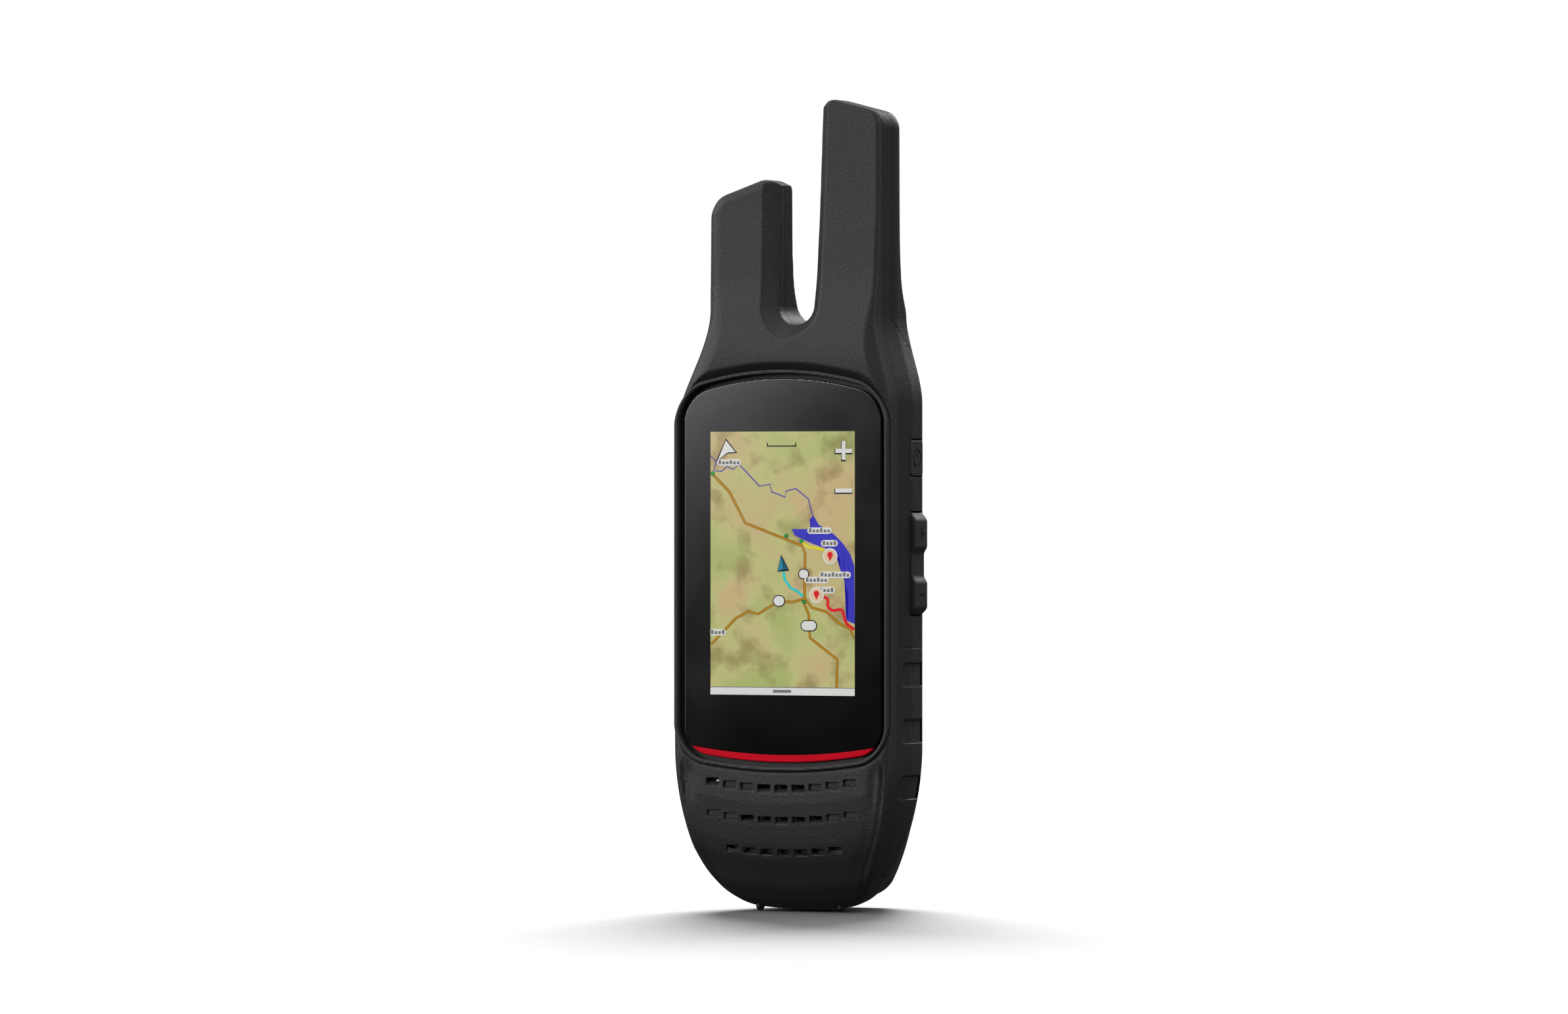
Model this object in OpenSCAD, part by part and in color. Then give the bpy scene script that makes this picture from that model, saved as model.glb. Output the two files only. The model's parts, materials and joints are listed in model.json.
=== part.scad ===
// Handheld GPS unit with two-way radio: a touch screen in a rugged case, a short and a tall antenna
// on a forked neck, keys on both sides, a weather cap over the ports and a battery pack behind.
// Millimetres. +Z up, the screen faces -Y. The origin is below the middle of the case, at the feet.

/* [Case] */
// Width across the side walls
case_w = 63.6; // [62:0.2:64]
// Depth from the hood above the screen to the back of the battery pack
unit_d = 41; // [40.8:0.1:41.4]
// Thickness of the case wall
wall = 1.8; // [1.6:0.1:1.9]
// Half height of the ellipse that shapes the case's lower end
bottom_drop = 45.5; // [45:0.5:47]
// Exponent of the case's rounded shoulders
top_power = 3; // [2.8:0.1:3.2]

/* [Antennas] */
// Height of the tall radio antenna's tip
tall_h = 201.5; // [196:0.5:206]
// Height of the short satellite antenna's tip
short_h = 182.6; // [180:0.2:186]
// Radius of the round bottom of the slot between the antennas
slot_r = 4.8; // [4.4:0.1:5]

/* [Screen] */
// Half the width of the cover glass
glass_hw = 26.9; // [26.5:0.1:27]
// Thickness of the cover glass
glass_t = 1.1; // [1:0.1:1.1]
// Width of the lit area
lit_w = 39.2; // [38:0.2:40]
// Height of the lit area
lit_h = 65.3; // [64:0.1:66]
// Height of the middle of the lit area
lit_z = 86.75; // [86:0.25:87.5]

/* [Keys] */
// Travel left between a key and its switch
key_gap = 0.5; // [0.4:0.05:0.55]
// Gap around each key in its opening
key_clear = 0.25; // [0.2:0.05:0.3]

/* [Grille] */
// Width of one grille pocket
pocket_w = 3.5; // [3:0.1:3.6]
// Height of one grille pocket
pocket_h = 2.05; // [1.8:0.05:2.2]
// Distance between neighbouring pockets
pocket_pitch = 4.65; // [4.5:0.05:4.7]

/* [Battery] */
// Radius of the latch screw's shank
shank_r = 2.5; // [2.3:0.1:2.5]
// Radius of the round recess that the ring folds into
recess_r = 12; // [11.8:0.1:12.2]

/* [Hidden] */

hw = case_w / 2;
front_y = 1 - unit_d / 2;          // flat front of the case
hood_y = front_y - 1;              // front of the hood, the foremost point
back_y = unit_d / 2;               // back of the battery pack
case_back_y = 5.5;                 // back of the case, where the pack sits
split_y = 0;                       // parting plane of the two shells
neck_split_y = -12.6;              // the same, in the antennas
slot_x = 2.8;                      // middle of the slot's round bottom
slot_z = 150.6;
bottom_z = 42;                     // where the rounded lower end starts
foot_bow = 107;                    // radius of the gently bowed underside
shoulder_z = 112;                  // where the rounded shoulders start
port_back_y = 15.5;                // back of the bulge that holds the ports

glass_y = front_y + 1;             // front of the glass
mask_y = glass_y + glass_t;
touch_y = mask_y + 0.15;
panel_y = touch_y + 0.5;
light_y = panel_y + 1.75;
frame_y = light_y + 1.8;
frame_back_y = frame_y + 1.2;
pcb_y = frame_back_y + 3;
pcb_back_y = pcb_y + 1;
ledge_back_y = frame_y - 2.8;      // back of the ledge that carries the glass
groove = 1.1;                      // dark gap around the glass, and width of the ring outside it
strip_top_z = 39.3;                // top of the coloured strip below the glass

speaker_z = 23.7;
speaker_y = front_y + 4.2;
mic_x = -18.6;                     // behind the first open pocket
mic_z = 32.2;

post_r = 2.6;
screw_r = 1;
case_screws = [[19, 128.9], [-19, 128.9], [25.2, 42], [-25.2, 42], [15.5, 12], [-15.5, 12]];
pcb_posts = [[19, 50], [-19, 50], [19, 118], [-19, 118]];

key_y = [-11.5, -4];               // front and back edges of the keys
key_face_x = 28.1;                 // top of the switches under the keys
rocker_z = 86.7;
rocker_h = 25.4;
power_z = 112.75;
power_h = 8.9;
talk_z = 96;
talk_h = 24;
call_z = 71.5;
call_h = 11;
pivot_x = 28;                      // the rocker's pin
pivot_r = 0.6;

cap_pivot_y = 14.3;
cap_pivot_z = 124.2;
bay_hw = 12.5;
bay_z = [114.4, 123.6];
bay_floor_y = 9.5;

latch_z = 20;
recess_y = 17;                     // floor of the recesses in the pack's back
ring_pin_y = 19.55;
pack_front_y = 5.6;
pack_top_z = 112;
gps_xy = [-12, -12.65];
radio_xy = [19, -12.65];
cable_x = [gps_xy[0], 14.3];       // the radio's cable passes beside a screw post
cable_y = -10.6;
$fn = 32;

// ---- outlines ----

// One quadrant point of a superellipse
function arc_point(a, b, power, t) =
  [a * sign(cos(t)) * pow(abs(cos(t)), 2 / power), b * sign(sin(t)) * pow(abs(sin(t)), 2 / power)];

// Case outline seen from the front: an ellipse cut off by a bowed underside, straight sides, round shoulders
function case_outline(half, low, high, drop = bottom_drop) = concat(
  [for (t = [180:10:360]) let (x = half * cos(t))
    [x, max(bottom_z + drop * sin(t), low + x * x / (2 * foot_bow))]],
  [for (t = [0:10:180]) arc_point(half, high - shoulder_z, top_power, t) + [0, shoulder_z]]);

// Smooth step from 0 to 1
function ease(t) = let (u = min(1, max(0, t))) u * u * (3 - 2 * u);

// Sides of the neck, from the shoulders up to the antennas
function neck_left(z) = -(22 + (hw - 22) * ease((150 - z) / 32));
function neck_right(z) = 27.6 + (hw - 27.6) * ease((148 - z) / 22);

module along_y(y0, y1) {
  translate([0, y1, 0]) rotate([90, 0, 0]) linear_extrude(y1 - y0) children();
}

module along_x(x0, x1) {
  translate([x0, 0, 0]) rotate([90, 0, 90]) linear_extrude(x1 - x0) children();
}

module cyl_y(r, y0, y1, x = 0, z = 0) {
  translate([x, y1, z]) rotate([90, 0, 0]) cylinder(r = r, h = y1 - y0);
}

module cyl_x(r, x0, x1, y, z) {
  translate([x0, y, z]) rotate([0, 90, 0]) cylinder(r = r, h = x1 - x0);
}

module block(x0, x1, y0, y1, z0, z1) {
  translate([x0, y0, z0]) cube([x1 - x0, y1 - y0, z1 - z0]);
}

module rounded(x0, x1, z0, z1, r) {
  translate([x0 + r, z0 + r]) offset(r) square([x1 - x0 - 2 * r, z1 - z0 - 2 * r]);
}

// ---- the case's outer form ----

// Cross-sections of the case from front to back: depth, half width, bottom, top
case_slices = [
  [front_y, hw - 4.1, 30, 128], [front_y + 0.7, hw - 2.8, 20.5, 130], [front_y + 3.1, hw - 1.4, 10.6, 133.4],
  [front_y + 6, hw - 0.7, 5.3, 134.4], [front_y + 8.9, hw - 0.1, 2.2, 134.8], [front_y + 14.5, hw, 0.7, 135],
  [split_y, hw - 2, 1.2, 134], [case_back_y, hw - 4.5, 3.5, 132]];

// The case without its neck, shrunk by inset
module case_solid(inset = 0) {
  intersection() {
    hull() for (s = case_slices)
      along_y(s[0], s[0] + 0.02)
        polygon(case_outline(s[1] - inset, s[2] + inset, s[3] - inset, bottom_drop - inset));
    block(-40, 40, front_y + inset, case_back_y - inset, -5, 140);
  }
}

module fork_outline() {
  difference() {
    offset(1.5) offset(-1.5) polygon(concat(
      [for (z = [110:4:150]) [neck_right(z), z]],
      [[26.2, tall_h - 5.5], [25.2, tall_h - 3.8], [23.5, tall_h - 2.9], [12.5, tall_h], [9.4, tall_h - 1.8],
       [8, 160], [slot_x, 150], [-2, 160], [-2, short_h - 1.6], [-5.5, short_h],
       [-17, short_h - 4], [-20.4, short_h - 5.6], [-22, short_h - 9]],
      [for (z = [150:-4:110]) [neck_left(z), z]]));
    slot_outline();
  }
}

// The slot between the antennas, wider towards its top
module slot_outline(grow = 0) {
  offset(delta = grow) union() {
    translate([slot_x, slot_z]) circle(slot_r);
    polygon([[slot_x - slot_r, slot_z], [slot_x + slot_r, slot_z], [8, 158], [9.4, tall_h - 2],
      [9.6, 215], [slot_x - slot_r, 215]]);
  }
}

// Side view of the neck and the antennas
module fork_profile() {
  polygon([[front_y + 0.2, 112.4], [front_y + 0.1, 124], [hood_y + 0.4, 132], [hood_y, 138],
    [hood_y + 0.9, 146], [hood_y + 2.2, 156], [hood_y + 2.9, 175], [hood_y + 3, 205], [-8, 205],
    [-7.6, 165], [-6.5, 154], [-2, 146], [6, 137], [13, 128], [port_back_y, 124.6], [port_back_y, 112.4]]);
}

// Plan view: the side walls taper towards the back
module fork_plan() {
  half = [[hw - 5.8, hood_y], [hw - 4.1, front_y], [hw - 2.8, front_y + 0.7], [hw - 1.4, front_y + 3.1],
    [hw, front_y + 9], [hw, -5], [hw - 2, 0], [hw - 4.5, 5.5], [hw - 9, port_back_y]];
  polygon(concat(half, [for (i = [len(half) - 1:-1:0]) [-half[i][0], half[i][1]]]));
}

module fork_solid(inset = 0) {
  intersection() {
    along_y(-25, 20) offset(delta = -inset) fork_outline();
    along_x(-40, 40) offset(delta = -inset) fork_profile();
    translate([0, 0, 100]) linear_extrude(110) offset(delta = -inset) fork_plan();
  }
}

module outer_solid() {
  union() {
    case_solid();
    fork_solid();
  }
}

// Space inside: the case's own room, and the room in the neck beyond the case's top wall
module inner_space() {
  case_solid(wall);
  difference() {
    fork_solid(wall);
    case_solid();
    along_y(-25, 20) slot_outline(4.6);
  }
}

// Everything in front of the parting line, which steps forward into the antennas
module front_region() {
  along_x(-45, 45) polygon([[-30, -5], [split_y, -5], [split_y, 134], [neck_split_y, 146.6],
    [neck_split_y, 210], [-30, 210]]);
}

// ---- screen outline ----

// Cover glass: bowed top and bottom edges with rounded corners
module glass_outline(grow = 0) {
  offset(grow) offset(6) offset(-6) intersection() {
    translate([-glass_hw, 30]) square([2 * glass_hw, 110]);
    translate([0, 132.6 - 80]) circle(80, $fn = 96);
    translate([0, 37.4 + 130]) circle(130, $fn = 120);
  }
}

// Everything above the flatter arc that divides the glass from the strip below it
module above_strip() {
  r = 150;
  polygon(concat([for (x = [-30:3:30]) [x, strip_top_z + r - sqrt(r * r - x * x)]], [[30, 140], [-30, 140]]));
}

// ---- front shell ----

module grille_cuts() {
  // height, pockets to each side, the open ones, how far the face has curved back
  rows = [[30.8, 4, [-4, -1, 0, 1], 0], [22.9, 4, [-2, -1, 0, 1, 2], 0.4], [14.8, 3, [-2, -1, 0, 1, 2], 2]];
  for (row = rows, i = [-row[1]:row[1]]) {
    x = i * pocket_pitch;
    z = row[0] + 1.6 * pow(x / 18.6, 2);
    open = len(search(i, row[2])) > 0;
    block(x - pocket_w / 2, x + pocket_w / 2, hood_y - 1, front_y + row[3] + (open ? 3.6 : 1.1),
      z - pocket_h / 2, z + pocket_h / 2);
  }
}

// Opening of one key through a side wall, as seen from the side
module key_opening(side, z, h) {
  x = side * hw;
  block(x - 4, x + 4, key_y[0] - key_clear, key_y[1] + key_clear,
    z - h / 2 - key_clear, z + h / 2 + key_clear);
}

module grip_region() {
  along_x(-45, 45) polygon([[-16.6, 66], [-16.6, 36], [-14, 22], [-9.5, 10.5], [-6, 8.6], [-1, 9.6], [-1, 66]]);
}

module front_shell() {
  color("#2c2d2f") difference() {
    union() {
      difference() {
        intersection() {
          outer_solid();
          front_region();
        }
        inner_space();
      }
      intersection() {
        case_solid();
        union() {
          along_y(front_y + wall - 0.2, ledge_back_y) glass_outline(3.2);
          for (p = case_screws) cyl_y(post_r, front_y + 1, split_y - 0.02, p[0], p[1]);
        }
      }
    }
    along_y(hood_y - 1, mask_y) glass_outline(groove);
    along_y(hood_y - 1, glass_y + 0.1) glass_outline(2 * groove);
    hull() {
      along_y(front_y + 0.5, front_y + 0.52) glass_outline(2 * groove + 0.15);
      along_y(hood_y - 0.5, hood_y - 0.48) glass_outline(2 * groove + 2.9);
    }
    along_y(mask_y - 1, ledge_back_y + 1) rounded(-23.3, 23.3, 47.5, 124.5, 2);
    hull() {
      along_y(front_y + 4.7, front_y + 4.72) slot_outline(0.02);
      along_y(hood_y, hood_y + 0.02) slot_outline(7.4);
    }
    grille_cuts();
    key_opening(1, power_z, power_h);
    key_opening(1, rocker_z, rocker_h);
    key_opening(-1, talk_z, talk_h);
    key_opening(-1, call_z, call_h);
    difference() {
      grip_region();
      case_solid(1.2);
    }
    for (p = case_screws) cyl_y(screw_r + 0.1, -10, split_y + 1, p[0], p[1]);
    for (s = [-1, 1]) translate([11 * s, -7.5, -1]) cylinder(r = 1.1, h = 8);
    gasket_ring(0.02);
    for (x = cable_x) translate([x, cable_y, 122]) cylinder(r = 0.9, h = 16);
  }
}

// ---- rear shell ----

module port_bay_block() {
  intersection() {
    fork_solid();
    block(-bay_hw - wall, bay_hw + wall, bay_floor_y - 1.2, 20, 112, 128);
  }
}

module rear_shell() {
  color("#2a2b2d") difference() {
    union() {
      difference() {
        outer_solid();
        front_region();
        inner_space();
      }
      port_bay_block();
      intersection() {
        outer_solid();
        union() {
          for (p = case_screws) cyl_y(3.4, split_y, 14, p[0], p[1]);
          cyl_y(5.5, split_y, case_back_y, 0, latch_z);
          block(7.5, 22.5, 2.6, case_back_y, 60.5, 79.5);
        }
      }
    }
    block(-bay_hw, bay_hw, bay_floor_y, 20, bay_z[0], bay_z[1]);
    cyl_x(1.8, -bay_hw, bay_hw, cap_pivot_y, cap_pivot_z);
    cyl_x(0.62, -bay_hw - 1.7, bay_hw + 1.7, cap_pivot_y, cap_pivot_z);
    block(-13, 13, 2, bay_floor_y - 1.2, 114.2, 124);
    block(-9.1, -0.9, 5, bay_floor_y + 1, 117.3, 120.7);
    cyl_y(2.5, 5, bay_floor_y + 1, 6.5, 119);
    for (p = case_screws) {
      cyl_y(screw_r + 0.15, split_y - 1, 6, p[0], p[1]);
      cyl_y(2.3, 3.6, 20, p[0], p[1]);
    }
    cyl_y(4.05, 0.4, 7, 0, latch_z);
    block(9, 21, 4.1, 7, 62, 78);
    for (x = [-6:4:6]) cyl_y(0.85, 2, 7, x, 104);
    cyl_y(1, 2, 7, 14, 96);
    lanyard_form(0.05);
  }
}

// Seal in a groove of the front shell's rim
module gasket_ring(grow = 0) {
  s = case_slices[6];
  along_y(split_y - 0.8, split_y) difference() {
    offset(delta = -0.4 + grow) polygon(case_outline(s[1], s[2], s[3]));
    offset(delta = -1.4 - grow) polygon(case_outline(s[1], s[2], s[3]));
  }
}

module main_gasket() {
  color("#d06a2a") gasket_ring();
}

// ---- screen stack ----

// Soft raised ring outside the dark groove
module bezel_ring() {
  color("#333436") along_y(hood_y + 0.5, glass_y + 0.1) difference() {
    glass_outline(2 * groove - 0.05);
    glass_outline(groove);
  }
}

module cover_glass() {
  color("#15161a") along_y(glass_y, mask_y) intersection() {
    glass_outline();
    above_strip();
  }
}

module accent_strip() {
  color("#c5102b") along_y(glass_y, mask_y) difference() {
    glass_outline(-0.05);
    above_strip();
  }
}

module glass_mask() {
  color("#050506") along_y(mask_y, touch_y) difference() {
    rounded(-22.6, 22.6, 48.2, 123.8, 1);
    rounded(-lit_w / 2, lit_w / 2, lit_z - lit_h / 2, lit_z + lit_h / 2, 0.2);
  }
}

module touch_sensor() {
  color("#30343a") along_y(touch_y, panel_y) rounded(-22.5, 22.5, 49, 123, 1);
}

module display_panel() {
  color("#b3b06f") along_y(panel_y, light_y) rounded(-21.6, 21.6, 51, 121, 0.5);
}

module backlight_unit() {
  color("#e8e8e4") along_y(light_y, frame_y) rounded(-21.2, 21.2, 51.4, 120.6, 0.5);
}

module midframe() {
  color("#9a9da1") difference() {
    union() {
      along_y(ledge_back_y, frame_back_y) rounded(-24.8, 24.8, 46, 126, 1.5);
      for (p = pcb_posts) cyl_y(2, frame_y, pcb_y, p[0], p[1]);
    }
    along_y(ledge_back_y - 1, frame_y) rounded(-23.8, 23.8, 47, 125, 1);
    for (p = pcb_posts) cyl_y(0.85, frame_back_y, pcb_y + 1, p[0], p[1]);
  }
}

// ---- electronics ----

module main_pcb() {
  color("#1d6b3c") difference() {
    along_y(pcb_y, pcb_back_y) rounded(-22.5, 22.5, 46, 124, 1);
    for (p = pcb_posts) cyl_y(0.9, pcb_y - 1, pcb_back_y + 1, p[0], p[1]);
  }
}

module shield_cans() {
  color("#c4c7cb") {
    along_y(pcb_y - 2.4, pcb_y) rounded(-16, 16, 58, 110, 1);
    along_y(pcb_back_y, pcb_back_y + 2.8) rounded(-15, -1, 50, 80, 1);
    along_y(pcb_back_y, pcb_back_y + 2.2) rounded(1, 15, 50, 66, 1);
  }
}

module ic_chips() {
  color("#1b1c1e") {
    along_y(pcb_back_y, pcb_back_y + 1.2) rounded(3, 13, 69, 79, 0.4);
    along_y(pcb_back_y, pcb_back_y + 1) rounded(15.5, 20.5, 72, 80, 0.4);
    along_y(pcb_back_y, pcb_back_y + 1.4) rounded(-21, -17, 60, 74, 0.4);
  }
}

module radio_module() {
  y = pcb_back_y + 3.4;
  color("#b9bcc0") {
    along_y(pcb_back_y, y) rounded(-10, 10, 96, 102, 0.5);
    along_y(y, y + 1) rounded(-20, 20, 84, 115, 1);
    along_y(y + 1, y + 3.4) rounded(-18.5, 18.5, 86, 113, 1);
  }
}

module gps_helix_core() {
  color("#d9d4c6") translate([gps_xy[0], gps_xy[1], 152]) {
    cylinder(r = 2.8, h = 21);
    translate([-4, -2.9, -1.2]) cube([8, 5.8, 1.2]);
  }
}

// A bar swept along a helix round Z: section holds [radius, height] points, anticlockwise
module helix(section, turns, rise, steps) {
  n = turns * steps;
  k = len(section);
  points = [for (i = [0:n], p = section)
    let (a = 360 * i / steps) [p[0] * cos(a), p[0] * sin(a), p[1] + rise * i / steps]];
  walls = [for (i = [0:n - 1], j = [0:k - 1], half = [0, 1])
    let (a = i * k + j, b = i * k + (j + 1) % k)
      half == 0 ? [a, b, b + k] : [a, b + k, a + k]];
  polyhedron(points, concat([[for (j = [k - 1:-1:0]) j]], walls, [[for (j = [0:k - 1]) n * k + j]]));
}

module gps_helix_strips() {
  color("#c98a45") translate([gps_xy[0], gps_xy[1], 152.4])
    for (a = [0:90:270]) rotate(a) helix([[2.87, 0], [3.05, 0], [3.05, 1.2], [2.87, 1.2]], 0.5, 37, 24);
}

module radio_antenna_rod() {
  color("#e3e1da") translate([radio_xy[0], radio_xy[1], 150.8]) {
    cylinder(r = 2.1, h = 44);
    translate([-5.5, -2.8, 0]) cube([9.5, 5.6, 1.2]);
  }
}

// Helical winding round the rod
module radio_antenna_coil() {
  wire = [for (q = [0:60:300]) [2.55 + 0.3 * cos(q), 0.3 * sin(q)]];
  color("#c98a45") translate([radio_xy[0], radio_xy[1], 153.4]) helix(wire, 9, 4.2, 12);
}

module antenna_cables() {
  color("#6b4a2c") for (x = cable_x) {
    translate([x, cable_y, 120]) cylinder(r = 0.6, h = 30.7);
    cyl_y(1.2, cable_y - 0.6, pcb_y, x, 120);
  }
}

module speaker() {
  color("#2b2b2e") union() {
    cyl_y(10, speaker_y, speaker_y + 5, 0, speaker_z);
    cyl_y(7, speaker_y + 5, speaker_y + 8, 0, speaker_z);
  }
}

module speaker_mesh() {
  color("#17181a") along_y(speaker_y - 0.5, speaker_y) rounded(-15.5, 15.5, 15, 33.8, 4);
}

module microphone() {
  color("#c9ccd0") cyl_y(2.2, front_y + 3, front_y + 5.2, mic_x, mic_z);
}

module microphone_boot() {
  color("#232426") difference() {
    cyl_y(2.8, front_y + wall + 0.3, front_y + 5.2, mic_x, mic_z);
    cyl_y(2.25, front_y + 3, front_y + 6, mic_x, mic_z);
    cyl_y(1, front_y, front_y + 6, mic_x, mic_z);
  }
}

// ---- sides ----

module side_grip(side) {
  color("#343537") difference() {
    intersection() {
      case_solid();
      grip_region();
      block(side > 0 ? 0 : -45, side > 0 ? 45 : 0, -30, 10, 0, 80);
    }
    case_solid(1.2);
    difference() {
      for (z = [31.4, 45.3, 59.3]) block(-45, 45, -14.6, 5, z - 2.9, z + 2.9);
      case_solid(0.7);
    }
  }
}

module side_grip_right() {
  side_grip(1);
}

module side_grip_left() {
  side_grip(-1);
}

// Steel bracket that hangs on the midframe and backs a key board
module key_bracket(side, low, high, ears) {
  color("#a8abaf") mirror([side > 0 ? 0 : 1, 0, 0]) difference() {
    union() {
      block(26.1, 26.9, -13.2, -3.2, low, high);
      block(24.8, 26.9, frame_y, frame_back_y, 82, 100);
      if (ears) for (y = [-12.8, -3.7])
        block(26.5, 29, y, y + 0.5, rocker_z - 1.5, rocker_z + 1.5);
    }
    if (ears) cyl_y(pivot_r + 0.02, -14, 0, pivot_x, rocker_z);
  }
}

module key_bracket_right() {
  key_bracket(1, 72, 118, true);
}

module key_bracket_left() {
  key_bracket(-1, 66, 108, false);
}

module key_board(side, low, high, domes) {
  color("#1f6f45") mirror([side > 0 ? 0 : 1, 0, 0]) {
    difference() {
      block(26.9, 27.6, -11.9, -3.9, low, high);
      if (side > 0) block(26.5, 28, -12.5, -3, rocker_z - 2, rocker_z + 2);
    }
    for (z = domes) cyl_x(1.8, 27.6, key_face_x, -7.75, z);
  }
}

module key_board_right() {
  key_board(1, 73, 117.5, [77.7, 95.7, power_z]);
}

module key_board_left() {
  key_board(-1, 66.5, 107.5, [call_z, talk_z - 7, talk_z + 7]);
}

module rocker_pin() {
  color("#b8bbc0") cyl_y(pivot_r, -13, -3, pivot_x, rocker_z);
}

// A key: a cap through the wall and a flange that keeps it in, above its switch
module key_form(face_x, z, h, rim) {
  y0 = key_y[0];
  y1 = key_y[1];
  along_x(key_face_x + key_gap + 0.1, face_x) translate([y0 + 1, z - h / 2 + 1])
    offset(1) square([y1 - y0 - 2, h - 2]);
  block(key_face_x + key_gap + 0.1, hw - wall - 0.7, y0 + 0.1, y1 - 0.1, z - h / 2 - rim, z + h / 2 + rim);
}

module power_button() {
  color("#2a2b2d") difference() {
    key_form(hw - 0.1, power_z, power_h, 0.8);
    difference() {
      cyl_x(2.35, hw - 0.4, hw + 1, -7.75, power_z);
      cyl_x(1.95, hw - 1, hw + 1, -7.75, power_z);
    }
  }
}

// Rocker key: two raised ends, a lower middle, and a lug round its pin
module volume_rocker() {
  y0 = key_y[0];
  y1 = key_y[1];
  top_x = hw + 1.2;
  color("#2a2b2d") difference() {
    union() {
      translate([0, y1, 0]) rotate([90, 0, 0]) linear_extrude(y1 - y0) polygon([
        [hw - 3, rocker_z - rocker_h / 2], [hw - 0.2, rocker_z - rocker_h / 2], [top_x, rocker_z - 11],
        [top_x, rocker_z - 4.6], [top_x - 0.9, rocker_z - 3.2], [top_x - 0.9, rocker_z + 2.6],
        [top_x, rocker_z + 4], [top_x, rocker_z + 10.8], [hw - 0.2, rocker_z + rocker_h / 2],
        [hw - 3, rocker_z + rocker_h / 2]]);
      block(28.6, 29.1, y0 + 0.1, y1 - 0.1, rocker_z - rocker_h / 2 - 0.8, rocker_z + rocker_h / 2 + 0.8);
      block(27.05, 29.1, y0 + 0.4, y1 - 0.4, rocker_z - 1.4, rocker_z + 1.4);
    }
    cyl_y(pivot_r + 0.05, -14, 0, pivot_x, rocker_z);
    block(top_x - 0.3, top_x + 1, -9.3, -6.2, rocker_z + 7, rocker_z + 7.6);
    block(top_x - 0.3, top_x + 1, -8.05, -7.45, rocker_z + 5.75, rocker_z + 8.85);
    block(top_x - 0.3, top_x + 1, -9.3, -6.2, rocker_z - 8.1, rocker_z - 7.5);
  }
}

module talk_button() {
  color("#2a2b2d") mirror([1, 0, 0]) difference() {
    key_form(hw + 1.2, talk_z, talk_h, 0.8);
    for (i = [-3:3]) block(hw + 0.9, hw + 2, -13, -2, talk_z + 2.6 * i - 0.4, talk_z + 2.6 * i + 0.4);
  }
}

module call_button() {
  color("#2a2b2d") mirror([1, 0, 0]) difference() {
    key_form(hw + 0.5, call_z, call_h, 0.8);
    block(hw + 0.2, hw + 2, -9.3, -6.2, call_z - 1.6, call_z + 1.6);
  }
}

// ---- ports, under the battery and at the foot ----

module battery_contacts() {
  color("#d9b45a") for (x = [-6:4:6]) {
    cyl_y(0.75, 1.2, 6.2, x, 104);
    cyl_y(1.3, 1.2, 3.6, x, 104);
  }
}

module port_board() {
  color("#1f6f45") along_y(3, 4) rounded(-12, 12, 114.4, 123.6, 0.6);
}

module usb_socket() {
  color("#c4c7cb") difference() {
    block(-9, -1, 4, 9.9, 117.4, 120.6);
    block(-8.4, -1.6, 5, 11, 118, 120);
  }
}

module headset_jack() {
  color("#232426") difference() {
    union() {
      block(3.5, 9.5, 4, 8.2, 116, 122);
      cyl_y(2.4, 8, 9.9, 6.5, 119);
    }
    cyl_y(1.27, 4.6, 11, 6.5, 119);
  }
}

module card_cage() {
  color("#c4c7cb") difference() {
    block(9.2, 20.8, 4.1, 5.3, 62.2, 77.8);
    block(9.8, 20.2, 4.35, 5.05, 61, 77);
    block(11.5, 18.5, 5, 6, 66, 74);
  }
}

module memory_card() {
  color("#141518") block(9.9, 20.1, 4.35, 5.05, 62.4, 76.9);
}

module shell_screws() {
  color("#8f9296") for (p = case_screws) difference() {
    union() {
      cyl_y(screw_r, -8.5, 3.6, p[0], p[1]);
      cyl_y(2, 3.6, 5.2, p[0], p[1]);
    }
    cyl_y(0.8, 4.3, 6, p[0], p[1], $fn = 6);
  }
}

module pcb_screws() {
  color("#8f9296") for (p = pcb_posts) {
    cyl_y(0.8, frame_back_y + 0.4, pcb_back_y, p[0], p[1]);
    cyl_y(1.5, pcb_back_y, pcb_back_y + 1, p[0], p[1]);
  }
}

module latch_insert() {
  color("#c9a24a") difference() {
    cyl_y(4, 0.45, case_back_y - 0.05, 0, latch_z);
    cyl_y(shank_r + 0.06, 0.9, 7, 0, latch_z);
  }
}

module foot_pegs() {
  color("#131415") for (s = [-1, 1]) translate([11 * s, -7.5, 1.05]) {
    sphere(r = 1.05);
    cylinder(r = 1.05, h = 4.2);
  }
}

module vent_membrane() {
  color("#e9e9e6") cyl_y(2.4, case_back_y - wall - 0.3, case_back_y - wall, 14, 96);
}

// Eye for a wrist cord, let into the neck's sloping back
module lanyard_form(grow = 0) {
  along_x(-16 - grow, -12 + grow) offset(delta = grow) union() {
    translate([3.4, 143.4]) circle(3.4);
    polygon([[-1.6, 144.4], [0.4, 140.6], [3.4, 140], [6, 141.6], [5.4, 146], [1.6, 146.4]]);
  }
}

module lanyard_eye() {
  color("#3a3b3e") difference() {
    lanyard_form();
    cyl_x(1.6, -17, -11, 3.4, 143.4);
  }
}

module cap_pin() {
  color("#b8bbc0") cyl_x(pivot_r, -bay_hw - 1.5, bay_hw + 1.5, cap_pivot_y, cap_pivot_z);
}

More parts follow.
